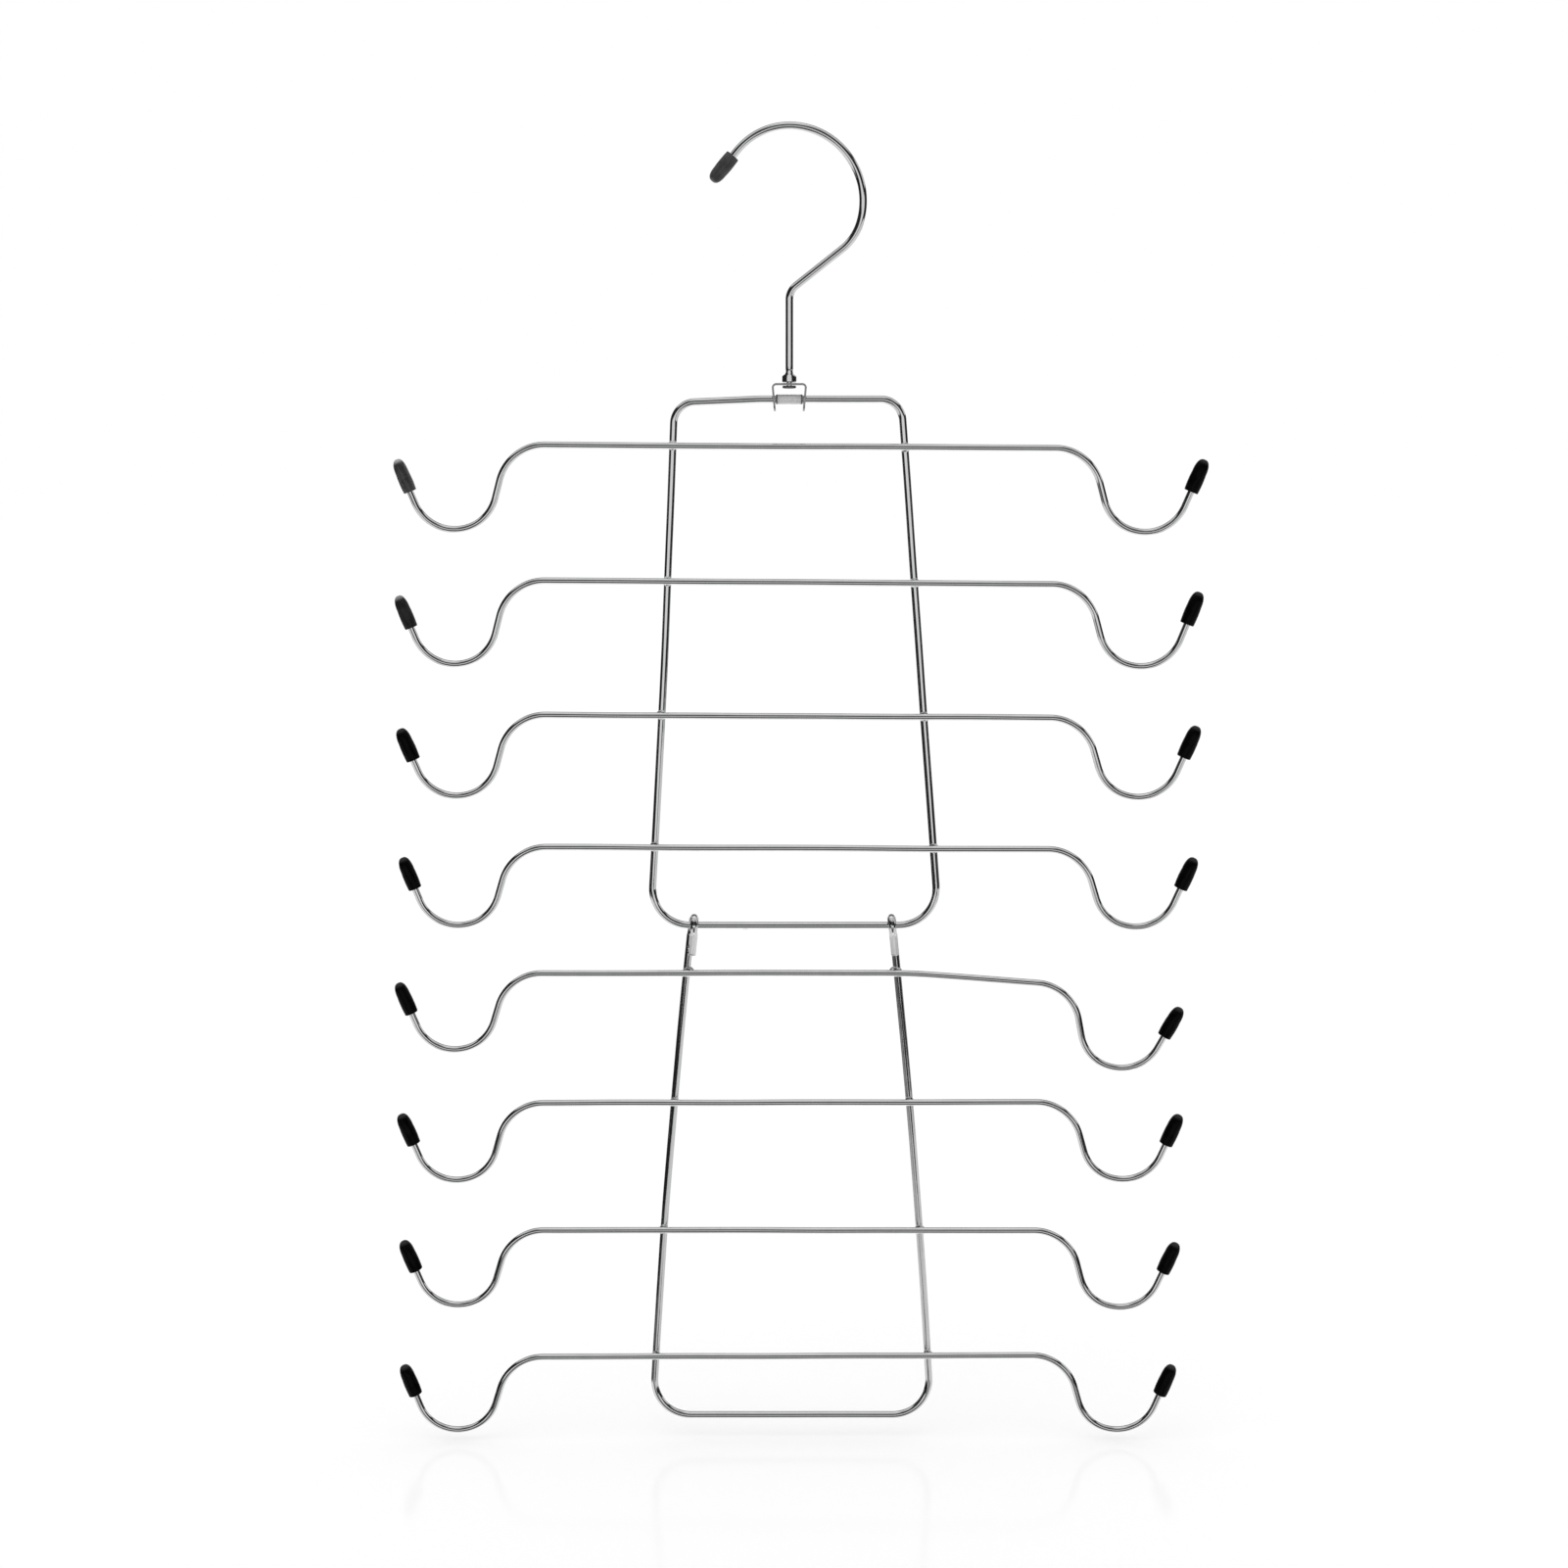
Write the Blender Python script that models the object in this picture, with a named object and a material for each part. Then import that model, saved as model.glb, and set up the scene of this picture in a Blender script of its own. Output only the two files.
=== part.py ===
"""Foldable eight-tier underwear hanger, bent from chromed steel wire.

Two wire panels hang under one closet hook. The lower panel swings on two wire eyes round the bottom wire of
the upper panel, so the hanger folds in half. Each panel carries four cross bars, and each end of a bar dips
into a U-shaped seat for a strap and rises to a black vinyl tip cap.

The origin is the rod seat, the inside of the hook's top. +Z is up, +X is to the right and -Y is the front.
Routes in a panel's plane are written as (x, z) from the axis that the panel swings on.
"""

import math
from collections import namedtuple

import bmesh
import bpy
from mathutils import Vector

mm = 0.001

# Wire gauges, all diameters
HOOK_WIRE = 3.3 * mm
FRAME_WIRE = 3.2 * mm
BAR_WIRE = 2.9 * mm

# Gaps: between pieces that touch, and between pieces that turn in each other
SEAT_GAP = 0.3 * mm
RUN_GAP = 0.3 * mm

# Closet hook: its round, the bend that leaves it, the sloping neck, the straight stem and the side of the tip
ROD_OPENING = 57.4 * mm
ROUND_TURN = math.radians(105)
THROAT_RADIUS = 22 * mm
NECK_SLOPE = math.radians(38)
STEM_BEND_RADIUS = 7 * mm
TIP_RADIUS = 28 * mm
TIP_TURN = math.radians(50)
TIP_RUN = 2.6 * mm
HOOK_DROP = 102.8 * mm  # rod seat to the top of the bracket's plate

# Lower end of the stem: pinched collar above the plate, shank through it, peened head under it
COLLAR_WIDTH = 5.4 * mm
COLLAR_THICKNESS = 2.4 * mm
COLLAR_HEIGHT = 3.3 * mm
SHANK = 2.4 * mm
HEAD_WIDTH = 5.4 * mm
HEAD_HEIGHT = 1.2 * mm

# Swivel bracket, one folded steel strip
BRACKET_WIDTH = 14.8 * mm
BRACKET_DEPTH = 9 * mm
SHEET = 0.8 * mm
BRACKET_CORNER = 1.8 * mm  # outside radius of the two folds
BRACKET_DROP = 6.7 * mm  # top of the plate to the wire that the bracket hangs on
EAR_TAIL = 4.9 * mm  # how far the ears reach below that wire
EAR_PINCH = math.radians(5)
EAR_ROUND = 2.5 * mm

# Sleeve crimped on the wire between the ears
SLEEVE_WALL = 0.3 * mm
CRIMP_GAP = 0.12 * mm

# Upper frame: a closed wire loop, wider at the bottom, bent by hand a little out of square
UPPER_HEIGHT = 223.4 * mm
UPPER_TOP_WIDTH = 94.4 * mm
UPPER_BOTTOM_WIDTH = 123.4 * mm
UPPER_TOP_SHIFT = -0.6 * mm
UPPER_BOTTOM_SHIFT = 2.4 * mm
UPPER_LEFT_BOW = 0.9 * mm  # how far the left leg is bent inwards at its middle
TOP_LEFT_START = 12.5 * mm  # from the middle to where the top wire begins to slope down to the left
TOP_LEFT_DROP = 1.5 * mm  # how far it has dropped at the left corner
TOP_BEND_RADIUS = 60 * mm
TOP_CORNER = 9 * mm
BOTTOM_CORNER = 16 * mm

# Lower frame: open at the top, where each leg ends in an eye round the upper frame's bottom wire
LOWER_HEIGHT = 221.1 * mm
EYE_INSET = 18.6 * mm  # from each lower corner of the upper frame to the eye beside it
LOWER_NARROWING = 0.6 * mm  # what the bottom is narrower by than the upper frame's
LOWER_SHIFT = 1.25 * mm
LEG_BOW = 1.5 * mm
EYE_THROAT_RADIUS = 3 * mm
EYE_TAIL = 12.8 * mm  # hinge axis to the end of the eye's tail
EYE_LEAN_LEFT = 1.6 * mm  # how far the left tail lies inboard of its leg
EYE_LEAN_RIGHT = 0.3 * mm

# Cross bars: where the first and last of each panel lie, and the form that all of them share
BARS_PER_PANEL = 4
UPPER_FIRST_BAR = 19.4 * mm  # below the top wire
UPPER_LAST_BAR = 34.2 * mm  # above the bottom wire
LOWER_FIRST_BAR = 20.6 * mm  # below the hinge axis
LOWER_LAST_BAR = 28.3 * mm  # above the bottom wire
BAR_STRAIGHT = 213.2 * mm
SHOULDER_RADIUS = 19.7 * mm
SHOULDER_TURN = math.radians(74.4)
STRAND = 7.5 * mm
SEAT_RADIUS = 17.65 * mm
TIP_RISE = math.radians(69.4)
BARE_TIP = 5.5 * mm

# How each bar departs from that form, as it was bent and welded on by hand: its shift to the right, what its
# straight part is longer by, its tilt with the right end up, and what its shoulders and tips turn more by
BarForm = namedtuple("BarForm", "shift longer tilt left_shoulder left_tip right_shoulder right_tip")
BAR_FORMS = [
    BarForm(4.6 * mm, -0.9 * mm, *map(math.radians, (-0.40, 1.3, -2.4, 0.0, 1.7))),
    BarForm(3.8 * mm, -0.7 * mm, *map(math.radians, (-0.39, 1.2, -1.7, -0.2, 4.2))),
    BarForm(3.7 * mm, -0.3 * mm, *map(math.radians, (-0.32, 0.4, -1.0, -1.2, 2.1))),
    BarForm(3.5 * mm, 0.1 * mm, *map(math.radians, (-0.27, -0.6, -0.1, -1.6, 0.9))),
    BarForm(0.4 * mm, -0.3 * mm, *map(math.radians, (0.09, -1.6, 0.2, 0.4, -0.4))),
    BarForm(0.3 * mm, -0.2 * mm, *map(math.radians, (0.10, -0.3, 1.1, 0.0, 0.1))),
    BarForm(0.0 * mm, 0.0 * mm, *map(math.radians, (-0.04, -0.9, 0.4, 0.4, 0.4))),
    BarForm(-0.8 * mm, 1.2 * mm, *map(math.radians, (0.21, -1.9, 1.1, -0.3, 1.0))),
]

# The right arm of the fifth bar is bent down past the frame's leg
DROOPED_BAR = 5
DROOP = math.radians(4.5)
DROOP_RADIUS = 300 * mm
DROOP_START = 38 * mm

# Vinyl tip caps
CAP_LENGTH = 14.5 * mm
HOOK_CAP_LENGTH = 13.5 * mm
CAP_WALL = 1.1 * mm
HOOK_CAP_WALL = 0.85 * mm
CAP_END = 3.0 * mm  # solid vinyl beyond the wire's end
CAP_GAP = 0.2 * mm
RIM_ROUND = 0.5 * mm

# Fineness of the faceted solids
WIRE_SIDES = 10
CAP_SIDES = 10
DOME_RINGS = 3
LEG_RINGS = 8
EAR_SEGMENTS = 4
CHORD_SAG = 0.1 * mm
COARSEST_CHORD = math.radians(15)
CUT_OVERRUN = 2 * mm

# Places that follow from the sizes above
STRIP_MIDDLE = SHEET / 2
TOP_WIRE_Z = -HOOK_DROP - BRACKET_DROP
HINGE_Z = TOP_WIRE_Z - UPPER_HEIGHT
BAR_STAND_OFF = FRAME_WIRE / 2 + SEAT_GAP + BAR_WIRE / 2
STRAND_OFFSET = FRAME_WIRE / 2 + SEAT_GAP / 2  # the two strands below an eye, each from the hinge axis

Run = namedtuple("Run", "length")
Bend = namedtuple("Bend", "radius angle")


def chords(radius, angle):
    """How many straight chords stand for a bend."""
    widest = min(COARSEST_CHORD, 2 * math.acos(1 - CHORD_SAG / radius))
    return max(2, math.ceil(abs(angle) / widest))


def arc(centre, radius, start, turn):
    """Points on an arc after its first one, in a plane, with angles anticlockwise from the first axis."""
    count = chords(radius, turn)
    angles = (start + turn * step / count for step in range(1, count + 1))
    return [(centre[0] + radius * math.cos(a), centre[1] + radius * math.sin(a)) for a in angles]


def walk(point, heading, moves):
    """Follows runs and bends from a point, and returns the points and the last heading."""
    points = [point]
    for move in moves:
        x, z = points[-1]
        if isinstance(move, Run):
            points.append((x + move.length * math.cos(heading), z + move.length * math.sin(heading)))
            continue
        side = math.copysign(1, move.angle)
        outward = heading - side * math.pi / 2
        centre = (x - move.radius * math.cos(outward), z - move.radius * math.sin(outward))
        points += arc(centre, move.radius, outward, move.angle)
        heading += move.angle
    return points, heading


def filleted(before, corner, after, radius):
    """Points of the arc that rounds a corner between two straight legs."""
    corner = Vector(corner)
    back = (Vector(before) - corner).normalized()
    ahead = (Vector(after) - corner).normalized()
    half_angle = back.angle(ahead) / 2
    centre = corner + (back + ahead).normalized() * radius / math.sin(half_angle)
    start = corner + back * radius / math.tan(half_angle) - centre
    end = corner + ahead * radius / math.tan(half_angle) - centre
    first = math.atan2(start.y, start.x)
    turn = (math.atan2(end.y, end.x) - first + math.pi) % (2 * math.pi) - math.pi
    return [tuple(centre + start)] + arc(tuple(centre), radius, first, turn)


def in_plane(points, depth):
    """Lifts (x, z) points into the panel's space at one depth."""
    return [Vector((x, depth, z)) for x, z in points]


def principled(name, colour, roughness, metallic):
    material = bpy.data.materials.new(name)
    material.use_nodes = True
    shader = material.node_tree.nodes["Principled BSDF"]
    shader.inputs["Base Color"].default_value = (*colour, 1)
    shader.inputs["Roughness"].default_value = roughness
    shader.inputs["Metallic"].default_value = metallic
    return material


def mesh_from_rings(name, rings, closed=False):
    """A closed skin through rings of points. An open stack of rings gets flat ends."""
    shape = bmesh.new()
    loops = [[shape.verts.new(point) for point in ring] for ring in rings]
    followers = loops[1:] + loops[:1] if closed else loops[1:]
    for loop, follower in zip(loops, followers):
        for side in range(len(loop)):
            after = (side + 1) % len(loop)
            shape.faces.new((loop[side], loop[after], follower[after], follower[side]))
    if not closed:
        shape.faces.new(loops[0])
        shape.faces.new(loops[-1])
    bmesh.ops.recalc_face_normals(shape, faces=shape.faces)
    if shape.calc_volume(signed=True) < 0:
        bmesh.ops.reverse_faces(shape, faces=shape.faces)
    mesh = bpy.data.meshes.new(name)
    shape.to_mesh(mesh)
    shape.free()
    mesh.shade_smooth()
    mesh.set_sharp_from_angle(angle=math.radians(50))
    return mesh


def wire_rings(route, radii, closed=False):
    """Rings round a route. Each ring has a radius across the panel and one in the direction of its depth."""
    rings = []
    depth = Vector((0, 1, 0))
    for index, point in enumerate(route):
        before = route[index - 1] if index or closed else point
        after = route[(index + 1) % len(route)] if closed or index + 1 < len(route) else point
        along = (after - before).normalized()
        depth = (depth - along * depth.dot(along)).normalized()
        across = along.cross(depth)
        wide, deep = radii[index]
        angles = (2 * math.pi * side / WIRE_SIDES for side in range(WIRE_SIDES))
        rings.append([point + across * wide * math.cos(a) + depth * deep * math.sin(a) for a in angles])
    return rings


def wire_mesh(name, route, diameter, closed=False):
    radii = [(diameter / 2, diameter / 2)] * len(route)
    return mesh_from_rings(name, wire_rings(route, radii, closed), closed)


def turned_mesh(name, profile, sides):
    """A piece turned about +Z from (height, radius) pairs."""
    angles = [2 * math.pi * side / sides for side in range(sides)]
    rings = [[Vector((r * math.cos(a), r * math.sin(a), z)) for a in angles] for z, r in profile]
    return mesh_from_rings(name, rings)


def place(name, mesh, material, parent, location=(0, 0, 0), turn_y=0.0):
    """A named object that carries the mesh. turn_y is clockwise as seen from the front."""
    piece = bpy.data.objects.new(name, mesh)
    bpy.context.scene.collection.objects.link(piece)
    piece.parent = parent
    piece.location = location
    piece.rotation_euler = (0, turn_y, 0)
    if material and not mesh.materials:
        mesh.materials.append(material)
    return piece


def axis_empty(name, parent, location):
    empty = bpy.data.objects.new(name, None)
    bpy.context.scene.collection.objects.link(empty)
    empty.parent = parent
    empty.location = location
    return empty


def cap_mesh(name, wire, length, wall):
    """A dipped vinyl cap: rim at the origin, blind bore for the wire, domed end along +Z."""
    bore = wire / 2 + CAP_GAP
    outer = bore + wall
    profile = [(length - CAP_END, bore), (0, bore), (0, outer - RIM_ROUND), (RIM_ROUND, outer)]
    quarter = math.pi / 2
    angles = (quarter * ring / (DOME_RINGS + 1) for ring in range(DOME_RINGS + 1))
    profile += [(length - outer + outer * math.sin(a), outer * math.cos(a)) for a in angles]
    profile.append((length, outer * math.cos(quarter * DOME_RINGS / (DOME_RINGS + 1)) / 2))
    return turned_mesh(name, profile, CAP_SIDES)


def closet_hook_route():
    """From the wire's end in the cap, over the rod and down to the collar on the stem."""
    radius = (ROD_OPENING + HOOK_WIRE) / 2
    top = (0, HOOK_WIRE / 2)
    wire_in_cap = HOOK_CAP_LENGTH - CAP_END - SEAT_GAP
    tip_side, tip_heading = walk(top, math.pi, [Bend(TIP_RADIUS, TIP_TURN), Run(TIP_RUN), Run(wire_in_cap)])
    neck_turn = math.pi - NECK_SLOPE
    rod_side, heading = walk(top, 0, [Bend(radius, -ROUND_TURN), Bend(THROAT_RADIUS, ROUND_TURN - neck_turn)])
    bend_reach = STEM_BEND_RADIUS * (1 - math.sin(NECK_SLOPE))
    neck = (rod_side[-1][0] - bend_reach) / math.cos(NECK_SLOPE)
    stem_bend = Bend(STEM_BEND_RADIUS, math.pi / 2 - NECK_SLOPE)
    stem_side, heading = walk(rod_side[-1], heading, [Run(neck), stem_bend])
    rim = tip_side[-2]
    return tip_side[:0:-1] + rod_side + stem_side[1:], rim, tip_heading


def add_hook(parent, chrome, vinyl):
    """The closet hook, pinched and peened at its lower end, and its tip cap."""
    flat_route, rim, tip_heading = closet_hook_route()
    wire = HOOK_WIRE / 2
    route = in_plane(flat_route, 0)
    radii = [(wire, wire)] * len(route)
    wing = (COLLAR_WIDTH / 2, COLLAR_THICKNESS / 2)
    shank = (SHANK / 2, SHANK / 2)
    head = (HEAD_WIDTH / 2, HEAD_WIDTH / 2)
    collar_foot = -HOOK_DROP + RUN_GAP
    head_top = -HOOK_DROP - SHEET - RUN_GAP
    stem_end = [
        (collar_foot + COLLAR_HEIGHT, (wire, wire)),
        (collar_foot + COLLAR_HEIGHT * 2 / 3, wing),
        (collar_foot, wing),
        (collar_foot, shank),
        (head_top, shank),
        (head_top, head),
        (head_top - HEAD_HEIGHT / 2, head),
        (head_top - HEAD_HEIGHT, (SHANK / 2, SHANK / 2)),
    ]
    rings = wire_rings(route, radii)
    for height, (wide, deep) in stem_end:
        angles = (2 * math.pi * side / WIRE_SIDES for side in range(WIRE_SIDES))
        rings.append([Vector((wide * math.cos(a), deep * math.sin(a), height)) for a in angles])
    place("hook_wire", mesh_from_rings("hook_wire", rings), chrome, parent)
    cap = cap_mesh("hook_tip_cap", HOOK_WIRE, HOOK_CAP_LENGTH, HOOK_CAP_WALL)
    place("hook_tip_cap", cap, vinyl, parent, (rim[0], 0, rim[1]), math.pi / 2 - tip_heading)


def cutter(name, radius, length, parent, location, turn_y=0.0):
    """A cylinder along its own Z that only cuts."""
    mesh = turned_mesh(name, [(-length / 2, radius), (length / 2, radius)], WIRE_SIDES * 2)
    tool = place(name, mesh, None, parent, location, turn_y)
    tool.hide_render = True
    tool.display_type = "WIRE"
    return tool


def add_bracket(parent, chrome):
    """A strip folded into a plate with two ears, drilled for the shank and for the wire it hangs on.

    The parent sits on the wire's axis, so the plate lies above it and the ears pass it.
    """
    top = BRACKET_DROP
    half = BRACKET_WIDTH / 2
    ear_length = BRACKET_DROP + EAR_TAIL
    foot = (half - ear_length * math.tan(EAR_PINCH), top - ear_length)
    corner = (half, top)
    right = filleted((0, top), corner, foot, BRACKET_CORNER) + [foot]
    outline = [(-x, z) for x, z in reversed(right)] + right
    shape = bmesh.new()
    edges = [[shape.verts.new((x, y, z)) for x, z in outline] for y in (-BRACKET_DEPTH / 2, BRACKET_DEPTH / 2)]
    front, back = edges
    for index in range(len(outline) - 1):
        shape.faces.new((front[index], front[index + 1], back[index + 1], back[index]))
    feet = [front[0], front[-1], back[0], back[-1]]
    bmesh.ops.bevel(shape, geom=feet, offset=EAR_ROUND, segments=EAR_SEGMENTS, profile=0.5, affect="VERTICES")
    mesh = bpy.data.meshes.new("swivel_bracket")
    shape.to_mesh(mesh)
    shape.free()
    bracket = place("swivel_bracket", mesh, chrome, parent)
    strip = bracket.modifiers.new("sheet", "SOLIDIFY")
    strip.thickness = SHEET
    strip.offset = -1
    strip.use_even_offset = True
    wire_hole = cutter(
        "wire_hole", FRAME_WIRE / 2 + RUN_GAP, BRACKET_WIDTH + CUT_OVERRUN, parent, (0, 0, 0), math.pi / 2
    )
    shank_hole = cutter("shank_hole", SHANK / 2 + RUN_GAP, SHEET + 2 * CUT_OVERRUN, parent, (0, 0, top - STRIP_MIDDLE))
    for tool in (wire_hole, shank_hole):
        cut = bracket.modifiers.new(tool.name, "BOOLEAN")
        cut.operation = "DIFFERENCE"
        cut.object = tool


def add_sleeve(parent, steel):
    """A thin tube crimped on the top wire, filling the space between the bracket's ears."""
    pinch_at_wire = BRACKET_DROP * math.tan(EAR_PINCH)
    between_ears = BRACKET_WIDTH - 2 * (SHEET / math.cos(EAR_PINCH) + pinch_at_wire)
    bore = FRAME_WIRE / 2 + CRIMP_GAP
    outer = bore + SLEEVE_WALL
    lean = outer * math.tan(EAR_PINCH)
    half = between_ears / 2 - lean - RUN_GAP
    angles = [2 * math.pi * side / WIRE_SIDES for side in range(WIRE_SIDES)]
    corners = [(-half, bore), (-half, outer), (half, outer), (half, bore)]
    rings = [[Vector((x, r * math.cos(a), r * math.sin(a))) for a in angles] for x, r in corners]
    place("bracket_sleeve", mesh_from_rings("bracket_sleeve", rings, closed=True), steel, parent)


def add_upper_frame(parent, chrome):
    """A closed trapezoid of wire. Its top wire is the axis at the parent's origin."""
    half_top = UPPER_TOP_WIDTH / 2
    half_bottom = UPPER_BOTTOM_WIDTH / 2
    corners = [
        (UPPER_TOP_SHIFT - half_top, -TOP_LEFT_DROP, TOP_CORNER),
        (UPPER_BOTTOM_SHIFT - half_bottom, -UPPER_HEIGHT, BOTTOM_CORNER),
        (UPPER_BOTTOM_SHIFT + half_bottom, -UPPER_HEIGHT, BOTTOM_CORNER),
        (UPPER_TOP_SHIFT + half_top, 0, TOP_CORNER),
    ]
    bowed_x = (corners[0][0] + corners[1][0]) / 2 + UPPER_LEFT_BOW
    bow = (bowed_x, -UPPER_HEIGHT / 2)
    top_bend = (-TOP_LEFT_START, 0)
    neighbours = [(top_bend, bow), (bow, corners[2]), (corners[1], corners[3]), (corners[2], top_bend)]
    bends = []
    for (x, z, radius), (before, after) in zip(corners, neighbours):
        bends.append(filleted(before[:2], (x, z), after[:2], radius))
    bow_radius = UPPER_HEIGHT**2 / (16 * UPPER_LEFT_BOW)
    bowed_leg = filleted(bends[0][-1], bow, bends[1][0], bow_radius)
    sloping = filleted(bends[3][-1], top_bend, bends[0][0], TOP_BEND_RADIUS)
    flat_route = bends[0] + bowed_leg + bends[1] + bends[2] + bends[3] + sloping
    place("upper_frame", wire_mesh("upper_frame", in_plane(flat_route, 0), FRAME_WIRE, closed=True), chrome, parent)


def eye_points(leg_x, slope, side, lean):
    """The eye round the hinge axis, from the top of a leg behind it to the end of the tail in front.

    The leg and the tail run side by side below the eye. Two bends of the throat's radius part them, and each
    meets the eye's round where the two circles touch.
    """
    eye = FRAME_WIRE + RUN_GAP
    throat = EYE_THROAT_RADIUS
    reach = STRAND_OFFSET + throat
    drop = math.sqrt((eye + throat) ** 2 - reach**2)
    spread = math.atan2(drop, reach)
    behind = (STRAND_OFFSET, -drop)
    flat = [behind]
    flat += arc((reach, -drop), throat, math.pi, -spread)
    flat += arc((0, 0), eye, -spread, math.pi + 2 * spread)
    flat += arc((-reach, -drop), throat, spread, -spread)
    points = []
    for index, (y, z) in enumerate(flat):
        inboard = -side * lean * index / (len(flat) - 1)
        points.append(Vector((leg_x - slope * (z + drop) + inboard, y, z)))
    end = points[-1]
    run = EYE_TAIL - drop
    points.append(end + Vector((slope * run, 0, -run)))
    return points, drop


def add_lower_frame(parent, chrome):
    """One wire from the left eye's tail round the bottom to the right eye's tail, hung on the hinge axis."""
    half_top = UPPER_BOTTOM_WIDTH / 2 - EYE_INSET
    half_bottom = (UPPER_BOTTOM_WIDTH - LOWER_NARROWING) / 2

    def half_width(down_share):
        straight = half_top + (half_bottom - half_top) * down_share
        return straight + 4 * LEG_BOW * down_share * (1 - down_share)

    halves = {}
    for side, lean in ((-1, EYE_LEAN_LEFT), (1, EYE_LEAN_RIGHT)):
        eye_drop = eye_points(0, 0, side, lean)[1]
        top_share = eye_drop / LOWER_HEIGHT
        bottom_share = 1 - 2 * BOTTOM_CORNER / LOWER_HEIGHT
        shares = [top_share + (bottom_share - top_share) * ring / LEG_RINGS for ring in range(LEG_RINGS + 1)]
        leg = [(LOWER_SHIFT + side * half_width(share), -LOWER_HEIGHT * share) for share in shares]
        slope = side * (half_width(shares[1]) - half_width(top_share)) / (LOWER_HEIGHT * (shares[1] - top_share))
        eye = eye_points(leg[0][0], slope, side, lean)[0]
        corner = (LOWER_SHIFT + side * half_bottom, -LOWER_HEIGHT)
        rounded = filleted(leg[-1], corner, (LOWER_SHIFT, -LOWER_HEIGHT), BOTTOM_CORNER)
        halves[side] = list(reversed(eye)) + in_plane(leg[1:] + rounded, STRAND_OFFSET)
    route = halves[-1] + list(reversed(halves[1]))
    place("lower_frame", wire_mesh("lower_frame", route, FRAME_WIRE), chrome, parent)


def bar_half(longer, shoulder, tip, droop):
    """The right half of a cross bar, from its middle to the wire's end inside the cap."""
    straight = (BAR_STRAIGHT + longer) / 2
    turn = SHOULDER_TURN + shoulder
    if droop:
        arm = [Run(DROOP_START), Bend(DROOP_RADIUS, -droop)]
        arm.append(Run(straight - DROOP_START - DROOP_RADIUS * math.sin(droop)))
    else:
        arm = [Run(straight)]
    dip = [Bend(SHOULDER_RADIUS, -turn), Run(STRAND), Bend(SEAT_RADIUS, turn + TIP_RISE + tip)]
    points, heading = walk((0, 0), 0, arm + dip + [Run(BARE_TIP)])
    rim = points[-1]
    reach = CAP_LENGTH - CAP_END - SEAT_GAP
    end = (rim[0] + reach * math.cos(heading), rim[1] + reach * math.sin(heading))
    return points[:-1] + [end], rim, heading


def add_bars(parent, first_tier, first_down, pitch, frame_depth, chrome, vinyl):
    """Four cross bars, welded to the front of a frame, with a cap on each end."""
    cap = cap_mesh("tip_cap", BAR_WIRE, CAP_LENGTH, CAP_WALL)
    for step in range(BARS_PER_PANEL):
        tier = first_tier + step
        form = BAR_FORMS[tier - 1]
        droop = DROOP if tier == DROOPED_BAR else 0
        left, left_rim, left_heading = bar_half(form.longer, form.left_shoulder, form.left_tip, 0)
        right, right_rim, right_heading = bar_half(form.longer, form.right_shoulder, form.right_tip, droop)
        mirrored = [(-x, z) for x, z in reversed(left[1:])]
        mesh = wire_mesh(f"cross_bar_{tier}", in_plane(mirrored + right, 0), BAR_WIRE)
        location = (form.shift, frame_depth - BAR_STAND_OFF, -first_down - pitch * step)
        bar = place(f"tier_bar_{tier}", mesh, chrome, parent, location, -form.tilt)
        right_turn = math.pi / 2 - right_heading
        left_turn = left_heading - math.pi / 2
        place(f"tip_cap_{tier}_right", cap, vinyl, bar, (right_rim[0], 0, right_rim[1]), right_turn)
        place(f"tip_cap_{tier}_left", cap, vinyl, bar, (-left_rim[0], 0, left_rim[1]), left_turn)


def build():
    for thing in list(bpy.data.objects):
        bpy.data.objects.remove(thing)
    chrome = principled("chrome", (0.78, 0.79, 0.8), 0.08, 1.0)
    steel = principled("sleeve_steel", (0.6, 0.6, 0.61), 0.35, 1.0)
    vinyl = principled("black_vinyl", (0.012, 0.012, 0.013), 0.25, 0.0)

    hook = axis_empty("hook", None, (0, 0, 0))
    bracket = axis_empty("bracket", hook, (0, 0, TOP_WIRE_Z))
    upper_panel = axis_empty("upper_panel", bracket, (0, 0, 0))
    lower_panel = axis_empty("lower_panel", upper_panel, (0, 0, HINGE_Z - TOP_WIRE_Z))

    add_hook(hook, chrome, vinyl)
    add_bracket(bracket, chrome)
    add_sleeve(upper_panel, steel)
    add_upper_frame(upper_panel, chrome)
    add_lower_frame(lower_panel, chrome)
    steps = BARS_PER_PANEL - 1
    upper_pitch = (UPPER_HEIGHT - UPPER_FIRST_BAR - UPPER_LAST_BAR) / steps
    lower_pitch = (LOWER_HEIGHT - LOWER_FIRST_BAR - LOWER_LAST_BAR) / steps
    add_bars(upper_panel, 1, UPPER_FIRST_BAR, upper_pitch, 0, chrome, vinyl)
    add_bars(lower_panel, 1 + BARS_PER_PANEL, LOWER_FIRST_BAR, lower_pitch, STRAND_OFFSET, chrome, vinyl)


build()
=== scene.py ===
"""Looks for the foldable underwear hanger: fine wires, welds, caps and sheet metal over the frame.

The routes are the part's with finer bends, so each piece lies where its solid is.
Only the bars' tips are bent a little differently, as they are in the photo.
"""

import math
from collections import namedtuple

import bmesh
import bpy
from mathutils import Matrix, Vector, noise


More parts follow.
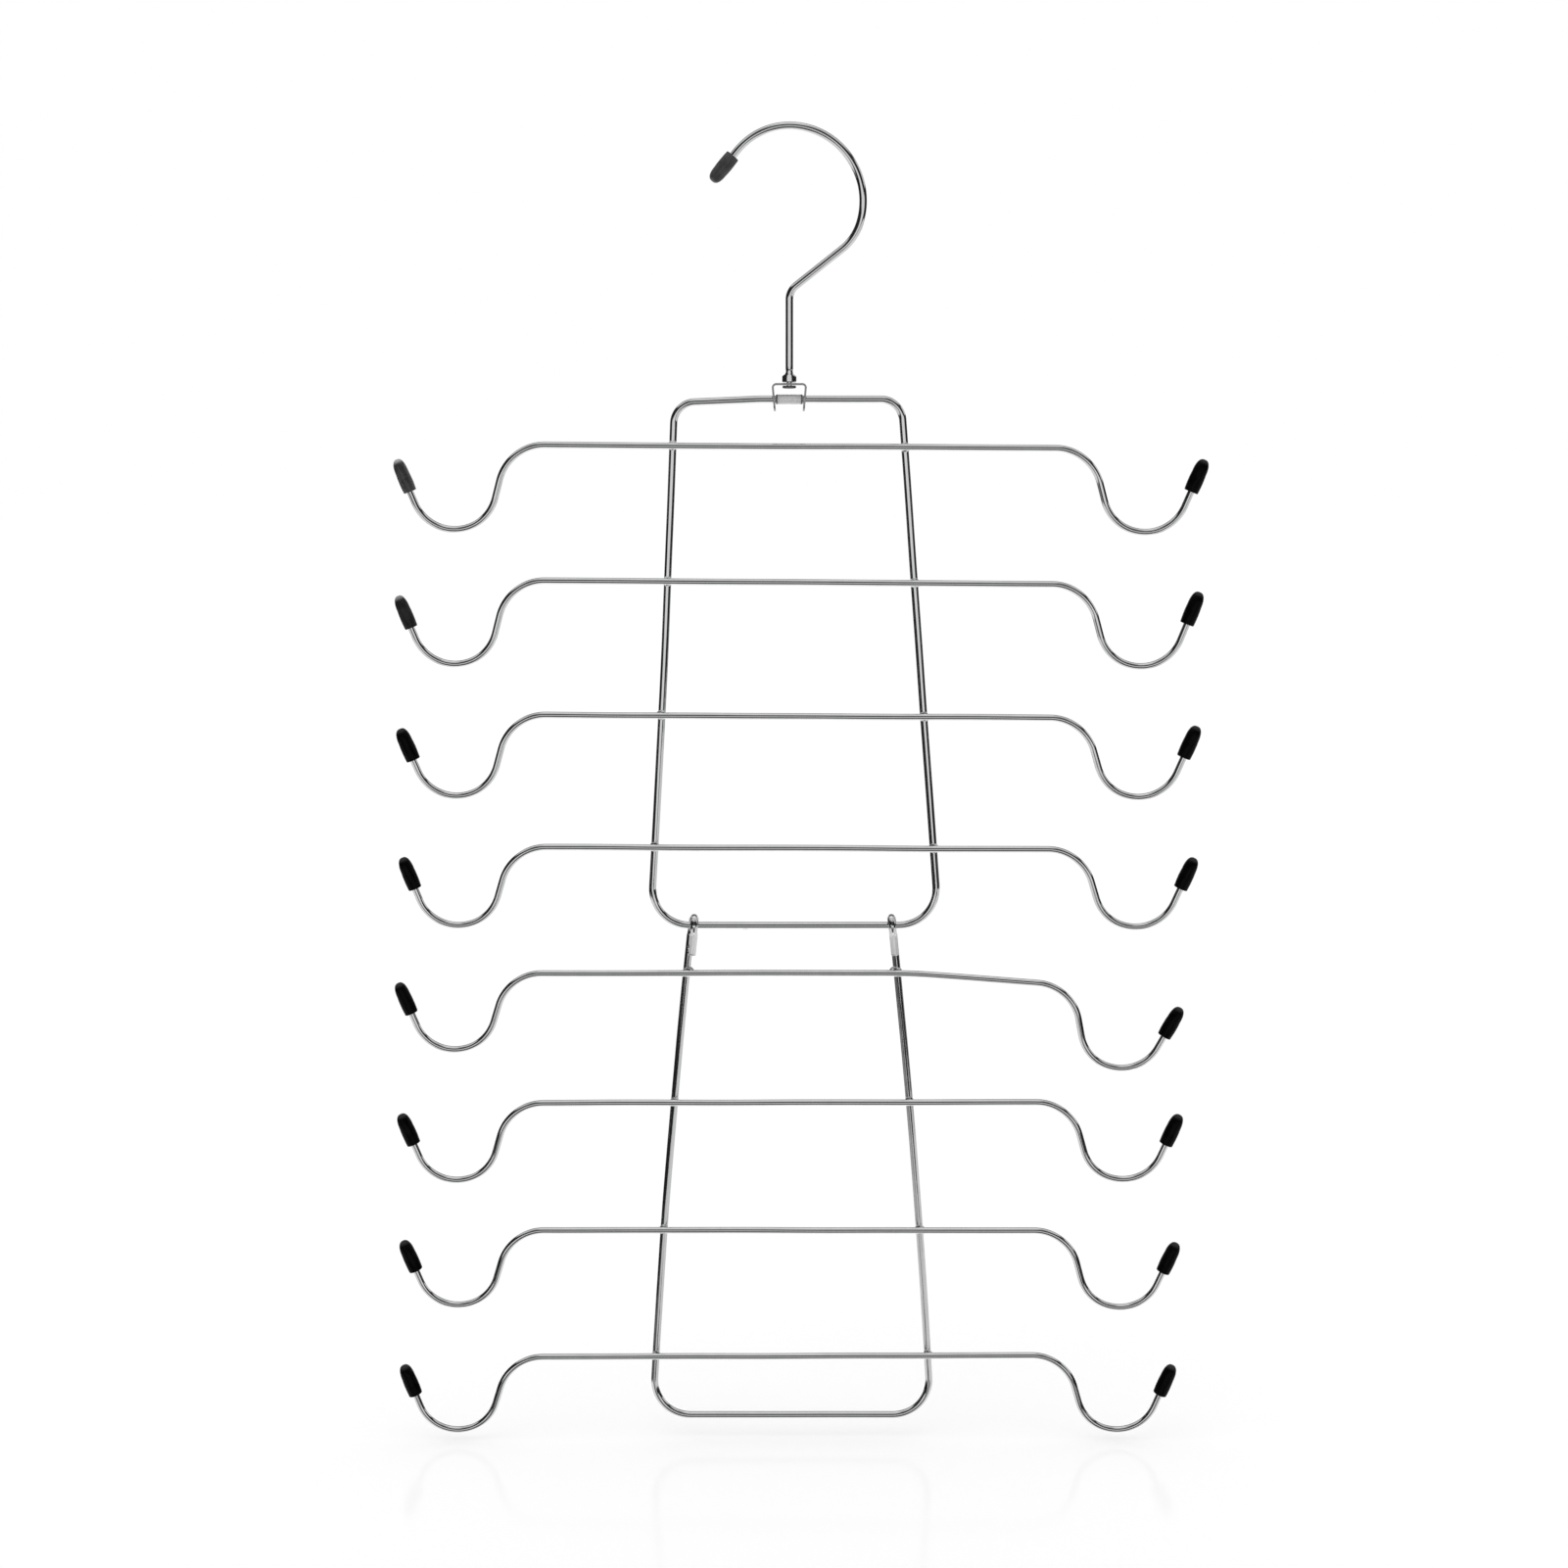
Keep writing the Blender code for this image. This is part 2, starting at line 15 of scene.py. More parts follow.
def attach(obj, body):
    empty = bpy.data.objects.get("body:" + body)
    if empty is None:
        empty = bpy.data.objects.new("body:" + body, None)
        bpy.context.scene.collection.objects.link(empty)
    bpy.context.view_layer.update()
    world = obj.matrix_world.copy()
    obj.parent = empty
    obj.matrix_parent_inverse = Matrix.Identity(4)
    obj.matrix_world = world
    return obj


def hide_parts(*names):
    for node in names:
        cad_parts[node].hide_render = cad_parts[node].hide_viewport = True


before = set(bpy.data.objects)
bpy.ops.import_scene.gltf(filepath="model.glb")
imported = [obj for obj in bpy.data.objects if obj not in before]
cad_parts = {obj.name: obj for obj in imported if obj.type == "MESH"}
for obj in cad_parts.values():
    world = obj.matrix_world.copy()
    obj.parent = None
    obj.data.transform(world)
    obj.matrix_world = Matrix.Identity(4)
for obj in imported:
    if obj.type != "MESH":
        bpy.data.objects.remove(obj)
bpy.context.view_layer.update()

# Without a seed of its own the noise would differ from run to run
noise.seed_set(7)

mm = 0.001

# Wire gauges and gaps
HOOK_WIRE = 3.3 * mm
FRAME_WIRE = 3.2 * mm
BAR_WIRE = 2.9 * mm
SEAT_GAP = 0.3 * mm
RUN_GAP = 0.3 * mm

# Closet hook
ROD_OPENING = 57.4 * mm
ROUND_TURN = math.radians(105)
THROAT_RADIUS = 22 * mm
NECK_SLOPE = math.radians(38)
STEM_BEND_RADIUS = 7 * mm
TIP_RADIUS = 28 * mm
TIP_TURN = math.radians(50)
TIP_RUN = 2.6 * mm
HOOK_DROP = 102.8 * mm
COLLAR_WIDTH = 5.4 * mm
COLLAR_DEPTH = 3 * mm
COLLAR_SPREAD = 0.25 * mm
SHANK = 2.4 * mm
HEAD_WIDTH = 5.4 * mm
HEAD_HEIGHT = 1.2 * mm
HEAD_SPREAD = 0.15 * mm

# Bracket and sleeve
BRACKET_WIDTH = 14.8 * mm
BRACKET_DEPTH = 9 * mm
SHEET = 0.8 * mm
BRACKET_CORNER = 1.8 * mm
BRACKET_DROP = 6.7 * mm
EAR_TAIL = 4.9 * mm
EAR_PINCH = math.radians(5)
EAR_ROUND = 2.5 * mm
SLEEVE_WALL = 0.3 * mm
CRIMP_GAP = 0.12 * mm
DENTS = (-0.62, 0, 0.62)
DENT_WIDTH = 0.42 * mm
DENT_DEPTH = 0.08 * mm

# Frames
UPPER_HEIGHT = 223.4 * mm
UPPER_TOP_WIDTH = 94.4 * mm
UPPER_BOTTOM_WIDTH = 123.4 * mm
UPPER_TOP_SHIFT = -0.6 * mm
UPPER_BOTTOM_SHIFT = 2.4 * mm
UPPER_LEFT_BOW = 0.9 * mm
TOP_LEFT_START = 12.5 * mm
TOP_LEFT_DROP = 1.5 * mm
TOP_BEND_RADIUS = 60 * mm
TOP_CORNER = 9 * mm
BOTTOM_CORNER = 16 * mm
LOWER_HEIGHT = 221.1 * mm
EYE_INSET = 18.6 * mm
LOWER_NARROWING = 0.6 * mm
LOWER_SHIFT = 1.25 * mm
LEG_BOW = 1.5 * mm
EYE_THROAT_RADIUS = 3 * mm
EYE_TAIL = 12.8 * mm
EYE_LEAN_LEFT = 1.6 * mm
EYE_LEAN_RIGHT = 0.3 * mm

# Cross bars
BARS_PER_PANEL = 4
UPPER_FIRST_BAR = 19.4 * mm
UPPER_LAST_BAR = 34.2 * mm
LOWER_FIRST_BAR = 20.6 * mm
LOWER_LAST_BAR = 28.3 * mm
BAR_STRAIGHT = 213.2 * mm
SHOULDER_RADIUS = 19.7 * mm
SHOULDER_TURN = math.radians(74.4)
STRAND = 7.5 * mm
SEAT_RADIUS = 17.65 * mm
TIP_RISE = math.radians(69.4)
BarForm = namedtuple("BarForm", "shift longer tilt left right")
HalfForm = namedtuple("HalfForm", "shoulder tip bare")
# How the bars came out, from the top: shift and extra length in mm, tilt in degrees, left and right half
# Each half: the extra bends of the shoulder and the tip in degrees, the bare tip in mm
BAR_FORMS = [
    BarForm(4.6, -0.9, -0.40, HalfForm(1.3, -2.0, 5.1), HalfForm(0.0, -1.8, 6.5)),
    BarForm(3.8, -0.7, -0.39, HalfForm(1.2, -1.7, 4.6), HalfForm(-0.2, -0.3, 7.1)),
    BarForm(3.7, -0.3, -0.32, HalfForm(0.4, -2.2, 4.8), HalfForm(-1.2, -1.9, 6.7)),
    BarForm(3.5, 0.1, -0.27, HalfForm(-0.6, -0.9, 5.0), HalfForm(-1.6, -2.6, 6.6)),
    BarForm(0.4, -0.3, 0.09, HalfForm(-1.6, -1.8, 5.5), HalfForm(0.4, -3.7, 5.5)),
    BarForm(0.3, -0.2, 0.10, HalfForm(-0.3, -1.4, 5.5), HalfForm(0.0, -3.1, 5.5)),
    BarForm(0.0, 0.0, -0.04, HalfForm(-0.9, -1.6, 5.1), HalfForm(0.4, -3.0, 5.9)),
    BarForm(-0.8, 1.2, 0.21, HalfForm(-1.9, 0.1, 5.1), HalfForm(-0.3, -2.0, 5.8)),
]
DROOPED_BAR = 5
DROOP = math.radians(4.5)
DROOP_RADIUS = 300 * mm
DROOP_START = 38 * mm

# Caps
CAP_LENGTH = 14.5 * mm
HOOK_CAP_LENGTH = 13.5 * mm
CAP_WALL = 1.1 * mm
HOOK_CAP_WALL = 0.85 * mm
CAP_END = 3.0 * mm
CAP_GAP = 0.2 * mm
CAP_LIP = 0.45 * mm

# Wear, and where shade and highlights are painted
SLEEVE_SHADE_START = 4.6 * mm  # from the sleeve's middle to where the painted shade at its ends begins
TIP_HIGHLIGHT_LENGTH = 2.2 * mm  # how far the painted highlight reaches down from a cap's end
THICK_DIP = 0.28 * mm  # how much thicker than the solids most caps came out
THINNER_CAPS = {(1, "left"): 0, (2, "left"): 0, (4, "left"): 0.14 * mm, (5, "left"): 0.14 * mm}
EYE_SQUARENESS = 2.1  # 2 would be a round eye
EYE_FLATTENING = 0.22  # how much wider the bending left the wire at the top of the eyes
FRAME_WAVE = 0.12 * mm
BAR_WAVE = 0.22 * mm
BAR_WAVE_END = 150 * mm  # from the middle of a bar to where its waviness has faded

# Weld metal: half sizes across, deep and high
BEAD = (2.15 * mm, 0.75 * mm, 2.05 * mm)
SPLASH = (1.25 * mm, 0.6 * mm, 0.5 * mm)
SEAM = (2.4 * mm, 0.4 * FRAME_WIRE, 0.465 * FRAME_WIRE)
SEAM_X = -18.6 * mm
SEAM_DROP = 0.42 * mm
EYE_WELD_PLACES = (0.62, 0.9)  # shares of the way down an eye's tail

# How the dipping left the caps: heights above the rim and swells in mm, then the bullet end
BARREL = [(1, 0.02), (2, 0.09), (3.4, 0.15), (5.2, 0.17), (7, 0.12), (8.4, 0.02)]
DOME_GAP = 0.6 * mm
DOME_POWER = 0.72

# Fineness of the visible pieces
WIRE_SIDES = 28
CAP_SIDES = 36
CUTTER_SIDES = 48
LIP_RINGS = 5
DOME_RINGS = 9
SLEEVE_RINGS = 28
LONGEST_STEP = 9 * mm
CHORD_SAG = 0.008 * mm
COARSEST_CHORD = math.radians(5)
BEND_MARGIN = 0.4 * mm

TOP_WIRE_Z = -HOOK_DROP - BRACKET_DROP
HINGE_Z = TOP_WIRE_Z - UPPER_HEIGHT
BAR_STAND_OFF = FRAME_WIRE / 2 + SEAT_GAP + BAR_WIRE / 2
STRAND_OFFSET = FRAME_WIRE / 2 + SEAT_GAP / 2

Run = namedtuple("Run", "length")
Bend = namedtuple("Bend", "radius angle")


def chords(radius, angle):
    widest = min(COARSEST_CHORD, 2 * math.acos(1 - CHORD_SAG / radius))
    return max(2, math.ceil(abs(angle) / widest))


def arc(centre, radius, start, turn):
    count = chords(radius, turn)
    angles = (start + turn * step / count for step in range(1, count + 1))
    return [(centre[0] + radius * math.cos(a), centre[1] + radius * math.sin(a)) for a in angles]


def walk(point, heading, moves):
    """Follows runs and bends from a point, and returns the points and the last heading."""
    points = [point]
    for move in moves:
        x, z = points[-1]
        if isinstance(move, Run):
            points.append((x + move.length * math.cos(heading), z + move.length * math.sin(heading)))
            continue
        side = math.copysign(1, move.angle)
        outward = heading - side * math.pi / 2
        centre = (x - move.radius * math.cos(outward), z - move.radius * math.sin(outward))
        points += arc(centre, move.radius, outward, move.angle)
        heading += move.angle
    return points, heading


def filleted(before, corner, after, radius):
    corner = Vector(corner)
    back = (Vector(before) - corner).normalized()
    ahead = (Vector(after) - corner).normalized()
    half_angle = back.angle(ahead) / 2
    centre = corner + (back + ahead).normalized() * radius / math.sin(half_angle)
    start = corner + back * radius / math.tan(half_angle) - centre
    end = corner + ahead * radius / math.tan(half_angle) - centre
    first = math.atan2(start.y, start.x)
    turn = (math.atan2(end.y, end.x) - first + math.pi) % (2 * math.pi) - math.pi
    return [tuple(centre + start)] + arc(tuple(centre), radius, first, turn)


def in_plane(points, depth):
    return [Vector((x, depth, z)) for x, z in points]


def subdivided(route, closed=False):
    """Adds points to the straight runs for the hand-bent waviness to show.

    The points close to a run's ends keep the shading of a bend in the bend.
    """
    points = []
    pairs = zip(route, route[1:] + route[:1]) if closed else zip(route, route[1:])
    for a, b in pairs:
        length = (b - a).length
        count = max(1, math.ceil(length / LONGEST_STEP))
        shares = [step / count for step in range(count)]
        if length > 6 * BEND_MARGIN:
            shares = [0, BEND_MARGIN / length] + shares[1:] + [1 - BEND_MARGIN / length]
        points += [a.lerp(b, share) for share in shares]
    if not closed:
        points.append(route[-1])
    return points


def smooth_mesh(name, rings, closed=False, sharp=50):
    shape = bmesh.new()
    loops = [[shape.verts.new(point) for point in ring] for ring in rings]
    followers = loops[1:] + loops[:1] if closed else loops[1:]
    for loop, follower in zip(loops, followers):
        for side in range(len(loop)):
            after = (side + 1) % len(loop)
            shape.faces.new((loop[side], loop[after], follower[after], follower[side]))
    if not closed:
        shape.faces.new(loops[0])
        shape.faces.new(loops[-1])
    bmesh.ops.recalc_face_normals(shape, faces=shape.faces)
    if shape.calc_volume(signed=True) < 0:
        bmesh.ops.reverse_faces(shape, faces=shape.faces)
    mesh = bpy.data.meshes.new(name)
    shape.to_mesh(mesh)
    shape.free()
    mesh.shade_smooth()
    mesh.set_sharp_from_angle(angle=math.radians(sharp))
    return mesh


def wire_rings(route, radii, closed=False):
    rings = []
    depth = Vector((0, 1, 0))
    for index, point in enumerate(route):
        before = route[index - 1] if index or closed else point
        after = route[(index + 1) % len(route)] if closed or index + 1 < len(route) else point
        along = (after - before).normalized()
        depth = (depth - along * depth.dot(along)).normalized()
        across = along.cross(depth)
        wide, deep = radii[index]
        angles = (2 * math.pi * side / WIRE_SIDES for side in range(WIRE_SIDES))
        rings.append([point + across * wide * math.cos(a) + depth * deep * math.sin(a) for a in angles])
    return rings


def wire_mesh(name, route, diameter, closed=False):
    radii = [(diameter / 2, diameter / 2)] * len(route)
    return smooth_mesh(name, wire_rings(route, radii, closed), closed)


def turned_rings(profile, sides):
    angles = [2 * math.pi * side / sides for side in range(sides)]
    return [[Vector((r * math.cos(a), r * math.sin(a), z)) for a in angles] for z, r in profile]


def piece(name, mesh, material, body, replaced, matrix=None):
    """A named object in the row frame that rides on a body and may stand for a solid."""
    made = bpy.data.objects.new(name, mesh)
    bpy.context.scene.collection.objects.link(made)
    if matrix is not None:
        made.matrix_world = matrix
    if not mesh.materials:
        mesh.materials.append(material)
    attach(made, body)
    if replaced:
        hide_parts(replaced)
    return made


# Materials


def node(tree, kind, **values):
    made = tree.nodes.new(kind)
    for name, value in values.items():
        setattr(made, name, value)
    return made


def noise_node(tree, scale, detail, rough=0.5, stretch=None):
    """Object-space noise. stretch scales the coordinates along X, Y and Z."""
    coords = node(tree, "ShaderNodeTexCoord")
    texture = node(tree, "ShaderNodeTexNoise")
    texture.inputs["Scale"].default_value = scale
    texture.inputs["Detail"].default_value = detail
    texture.inputs["Roughness"].default_value = rough
    if stretch:
        mapping = node(tree, "ShaderNodeMapping")
        mapping.inputs["Scale"].default_value = stretch
        tree.links.new(coords.outputs["Object"], mapping.inputs["Vector"])
        tree.links.new(mapping.outputs["Vector"], texture.inputs["Vector"])
    else:
        tree.links.new(coords.outputs["Object"], texture.inputs["Vector"])
    return texture


def spread(tree, source, low, high):
    """Maps a noise value to a range. Noise seldom leaves 0.3 to 0.7."""
    ramp = node(tree, "ShaderNodeMapRange")
    ramp.inputs["From Min"].default_value = 0.3
    ramp.inputs["From Max"].default_value = 0.7
    ramp.inputs["To Min"].default_value = low
    ramp.inputs["To Max"].default_value = high
    tree.links.new(source, ramp.inputs["Value"])
    return ramp.outputs["Result"]


def mixed(tree, factor, low, high):
    blend = node(tree, "ShaderNodeMix", data_type="RGBA")
    blend.inputs["A"].default_value = (*low, 1)
    blend.inputs["B"].default_value = (*high, 1)
    tree.links.new(factor, blend.inputs["Factor"])
    return blend.outputs["Result"]


def add_bump(tree, shader, layers):
    """Chains bump nodes: (height, strength, distance)."""
    last = None
    for height, strength, distance in layers:
        bump = node(tree, "ShaderNodeBump")
        bump.inputs["Strength"].default_value = strength
        bump.inputs["Distance"].default_value = distance
        tree.links.new(height, bump.inputs["Height"])
        if last:
            tree.links.new(last, bump.inputs["Normal"])
        last = bump.outputs["Normal"]
    tree.links.new(last, shader.inputs["Normal"])


def chrome_material(name, dark, light, smoothest, roughest, metallic=1.0):
    """Plated steel: a faint haze, small pits and slow waves from the bending."""
    material = bpy.data.materials.new(name)
    material.use_nodes = True
    tree = material.node_tree
    shader = tree.nodes["Principled BSDF"]
    shader.inputs["Metallic"].default_value = metallic
    haze = noise_node(tree, 140, 4)
    pits = noise_node(tree, 1500, 2, 0.6)
    waves = noise_node(tree, 60, 2)
    colour = mixed(tree, spread(tree, haze.outputs["Fac"], 0, 1), dark, light)
    tree.links.new(colour, shader.inputs["Base Color"])
    tree.links.new(spread(tree, haze.outputs["Fac"], smoothest, roughest), shader.inputs["Roughness"])
    add_bump(tree, shader, [(waves.outputs["Fac"], 0.05, 0.0012), (pits.outputs["Fac"], 0.02, 0.0002)])
    return material


def past(tree, axis, start, end):
    """0 to 1 as the distance from the object's origin along one axis goes from start to end."""
    coords = node(tree, "ShaderNodeTexCoord")
    axes = node(tree, "ShaderNodeSeparateXYZ")
    tree.links.new(coords.outputs["Object"], axes.inputs[0])
    away = node(tree, "ShaderNodeMath", operation="ABSOLUTE")
    tree.links.new(axes.outputs[axis], away.inputs[0])
    ramp = node(tree, "ShaderNodeMapRange", interpolation_type="SMOOTHSTEP")
    ramp.inputs["From Min"].default_value = start
    ramp.inputs["From Max"].default_value = end
    tree.links.new(away.outputs[0], ramp.inputs["Value"])
    return ramp.outputs["Result"]


def tinted(tree, factor, colour, other):
    """A colour socket that turns to another colour where the factor is 1."""
    blend = node(tree, "ShaderNodeMix", data_type="RGBA")
    tree.links.new(colour, blend.inputs["A"])
    blend.inputs["B"].default_value = (*other, 1)
    tree.links.new(factor, blend.inputs["Factor"])
    return blend.outputs["Result"]


def sleeve_material():
    """Bare crimped steel: matte, a little blotched, with fine lines round it and painted shade at its
    ends.
    """
    material = bpy.data.materials.new("matte_steel")
    material.use_nodes = True
    tree = material.node_tree
    shader = tree.nodes["Principled BSDF"]
    shader.inputs["Metallic"].default_value = 0.35
    blotch = noise_node(tree, 420, 4)
    lines = noise_node(tree, 1, 3, 0.6, (3800, 300, 300))
    tone = spread(tree, blotch.outputs["Fac"], 0, 1)
    colour = mixed(tree, tone, (0.8, 0.795, 0.795), (0.88, 0.875, 0.875))
    # painted shade: the sleeve's ends are darkened where the ears shade them
    painted_end_shade = past(tree, "X", SLEEVE_SHADE_START, SLEEVE_SHADE_START + 0.6 * mm)
    tree.links.new(tinted(tree, painted_end_shade, colour, (0.13, 0.13, 0.13)), shader.inputs["Base Color"])
    tree.links.new(spread(tree, blotch.outputs["Fac"], 0.36, 0.5), shader.inputs["Roughness"])
    add_bump(tree, shader, [(lines.outputs["Fac"], 0.05, 0.0001)])
    return material


def vinyl_material(name, dark, light, tip, shine):
    """Dipped black vinyl: glossy, with a slow ripple, a few dull patches and a painted highlight on its
    tip.
    """
    material = bpy.data.materials.new(name)
    material.use_nodes = True
    tree = material.node_tree
    shader = tree.nodes["Principled BSDF"]
    shader.inputs["Metallic"].default_value = 0.0
    shader.inputs["Specular IOR Level"].default_value = shine
    patch = noise_node(tree, 260, 3)
    ripple = noise_node(tree, 420, 2)
    grain = noise_node(tree, 2600, 2)
    tone = spread(tree, patch.outputs["Fac"], 0, 1)
    colour = mixed(tree, tone, (dark, dark, dark), (light, light, light))
    # painted highlight: the tip colour, lighter towards the cap's end, stands in for the shine of light
    # from above
    painted_tip_highlight = past(tree, "Z", CAP_LENGTH - TIP_HIGHLIGHT_LENGTH, CAP_LENGTH - 0.4 * mm)
    tree.links.new(tinted(tree, painted_tip_highlight, colour, (tip, tip, tip)), shader.inputs["Base Color"])
    tree.links.new(spread(tree, patch.outputs["Fac"], 0.2, 0.34), shader.inputs["Roughness"])
    add_bump(tree, shader, [(ripple.outputs["Fac"], 0.3, 0.0006), (grain.outputs["Fac"], 0.12, 0.0001)])
    return material


CHROME = chrome_material("bright_chrome", (0.87, 0.875, 0.88), (0.94, 0.94, 0.945), 0.03, 0.07)
SHEARED = chrome_material("sheared_plate", (0.48, 0.48, 0.485), (0.62, 0.62, 0.625), 0.26, 0.4)
# darker steel for the hook's head under the bracket: partly its peened, unplated surface, partly painted
# shade
PEENED_SHADED = chrome_material("peened_shaded_steel", (0.2, 0.2, 0.2), (0.34, 0.34, 0.34), 0.25, 0.4)
STRETCHED = chrome_material("stretched_plate", (0.86, 0.86, 0.865), (0.95, 0.95, 0.955), 0.12, 0.24, 0.4)
STEEL = sleeve_material()
# Copies of one black vinyl: each tip colour is a painted highlight, and the two upper left caps get
# lighter bodies as painted light
VINYL = vinyl_material("dipped_vinyl", 0.0008, 0.003, 0.03, 0.07)
HALF_LIT_VINYL = vinyl_material("half_lit_vinyl", 0.01, 0.025, 0.26, 0.12)
LIT_VINYL = vinyl_material("lit_vinyl", 0.025, 0.05, 0.4, 0.6)
# the hook's cap: a greyer body, with a painted highlight at its tip
GREY_VINYL = vinyl_material("grey_vinyl", 0.03, 0.075, 0.2, 0.3)
PAINTED_LIGHT_VINYLS = {(1, "left"): LIT_VINYL, (2, "left"): HALF_LIT_VINYL}

# Caps


def cap_mesh(name, wire, length, wall, seed, thicker=THICK_DIP):
    """A dipped cap with a soft lip, a slight barrel and a bullet end, from the origin along +Z."""
    bore = wire / 2 + CAP_GAP
    outer = bore + wall + thicker
    profile = [(length - CAP_END, bore), (0.25 * mm, bore), (0.06 * mm, bore + 0.12 * mm)]
    profile.append((0, bore + wall / 2))
    for step in range(LIP_RINGS):
        a = math.pi / 2 * (step + 1) / LIP_RINGS
        profile.append((CAP_LIP - CAP_LIP * math.cos(a), outer - CAP_LIP + CAP_LIP * math.sin(a)))
    even_rings = len(profile)
    profile += [(height * mm, outer + swell * mm) for height, swell in BARREL]
    shoulder = outer + BARREL[-1][1] * mm
    dome = length - BARREL[-1][0] * mm - DOME_GAP
    for ring in range(DOME_RINGS + 1):
        a = math.pi / 2 * ring / (DOME_RINGS + 1)
        profile.append((length - dome + dome * math.sin(a), shoulder * math.cos(a) ** DOME_POWER))
    profile.append((length, shoulder * 0.02))
    rings = turned_rings(profile, CAP_SIDES)
    offset = Vector((seed * 3.7, seed * 1.9, 0))
    for ring in rings[even_rings:]:
        for point in ring:
            out = Vector((point.x, point.y, 0))
            swell = noise.noise(point * 330 + offset) * 0.05 * mm
            point += out.normalized() * swell
    return smooth_mesh(name, rings, sharp=60)


def placed(location, turn_y):
    return Matrix.Translation(location) @ Matrix.Rotation(turn_y, 4, "Y")


# Closet hook


def closet_hook_route():
    radius = (ROD_OPENING + HOOK_WIRE) / 2
    top = (0, HOOK_WIRE / 2)
    wire_in_cap = HOOK_CAP_LENGTH - CAP_END - SEAT_GAP
    tip_moves = [Bend(TIP_RADIUS, TIP_TURN), Run(TIP_RUN), Run(wire_in_cap)]
    tip_side, tip_heading = walk(top, math.pi, tip_moves)
    neck_turn = math.pi - NECK_SLOPE
    rod_moves = [Bend(radius, -ROUND_TURN), Bend(THROAT_RADIUS, ROUND_TURN - neck_turn)]
    rod_side, heading = walk(top, 0, rod_moves)
    bend_reach = STEM_BEND_RADIUS * (1 - math.sin(NECK_SLOPE))
    neck = (rod_side[-1][0] - bend_reach) / math.cos(NECK_SLOPE)
    stem_bend = Bend(STEM_BEND_RADIUS, math.pi / 2 - NECK_SLOPE)
    stem_side, heading = walk(rod_side[-1], heading, [Run(neck), stem_bend])
    rim = tip_side[-2]
    return tip_side[:0:-1] + rod_side + stem_side[1:], rim, tip_heading


def make_hook():
    flat_route, rim, tip_heading = closet_hook_route()
    wire = HOOK_WIRE / 2
    route = in_plane(flat_route, 0)
    rings = wire_rings(route, [(wire, wire)] * len(route))
    foot = -HOOK_DROP + RUN_GAP
    head_top = -HOOK_DROP - SHEET - RUN_GAP
    wide = COLLAR_WIDTH / 2 + COLLAR_SPREAD
    deep = COLLAR_DEPTH / 2
    shank = SHANK / 2
    head = HEAD_WIDTH / 2 + HEAD_SPREAD
    # height, half width, half depth and how far it is pinched into two wings, down the end of the stem
    stations = [
        (foot + 7.4 * mm, wire, wire, 0),
        (foot + 5.6 * mm, wire, wire, 0),
        (foot + 5.1 * mm, wire * 0.96, wire * 0.96, 0),
        (foot + 4.5 * mm, wire * 0.9, wire * 0.92, 0),
        (foot + 3.9 * mm, wire * 0.98, wire * 0.96, 0),
        (foot + 3.3 * mm, wire * 1.2, deep, 0.4),
        (foot + 2.9 * mm, wide * 0.86, deep, 0.8),
        (foot + 2.6 * mm, wide * 0.97, deep, 1),
        (foot + 2.2 * mm, wide, deep * 0.97, 1),
        (foot + 0.6 * mm, wide, deep * 0.97, 1),
        (foot + 0.2 * mm, wide * 0.97, deep, 1),
        (foot, wide * 0.88, deep * 0.9, 1),
        (foot, shank, shank, 0),
        (head_top, shank, shank, 0),
        (head_top, head * 0.9, head * 0.9, 0),
        (head_top - 0.12 * mm, head * 0.98, head * 0.98, 0),
        (head_top - 0.3 * mm, head, head, 0),
        (head_top - 0.85 * mm, head, head, 0),
        (head_top - 1.05 * mm, head * 0.9, head * 0.9, 0),
        (head_top - HEAD_HEIGHT + 0.02 * mm, head * 0.6, head * 0.6, 0),
        (head_top - HEAD_HEIGHT, head * 0.12, head * 0.12, 0),
    ]
    for height, half_wide, half_deep, pinch in stations:
        ring = []
        for side in range(WIRE_SIDES):
            a = 2 * math.pi * side / WIRE_SIDES
            winged = math.copysign(1 - abs(math.cos(a)) ** 1.6, math.sin(a))
            y = half_deep * (math.sin(a) * (1 - pinch) + winged * pinch)
            ring.append(Vector((half_wide * math.cos(a), y, height)))
        rings.append(ring)
    hook = smooth_mesh("closet_hook", rings, sharp=55)
    hook.materials.append(CHROME)
    hook.materials.append(PEENED_SHADED)
    # the head under the bracket takes the darker steel, which carries painted shade as well
    for face in hook.polygons:
        if face.center.z < head_top + SHEET / 2:
            face.material_index = 1
    piece("closet_hook", hook, CHROME, "hook", "hook_wire")
    cap = cap_mesh("hook_cap", HOOK_WIRE, HOOK_CAP_LENGTH, HOOK_CAP_WALL, 9)
    at = placed((rim[0], 0, rim[1]), math.pi / 2 - tip_heading)
    piece("hook_cap", cap, GREY_VINYL, "hook", "hook_tip_cap", at)


# Bracket and sleeve


def hole_cutter(radius, length, matrix):
    mesh = smooth_mesh("cutter", turned_rings([(-length / 2, radius), (length / 2, radius)], CUTTER_SIDES))
    tool = bpy.data.objects.new("cutter", mesh)
    bpy.context.scene.collection.objects.link(tool)
    tool.matrix_world = matrix
    return tool


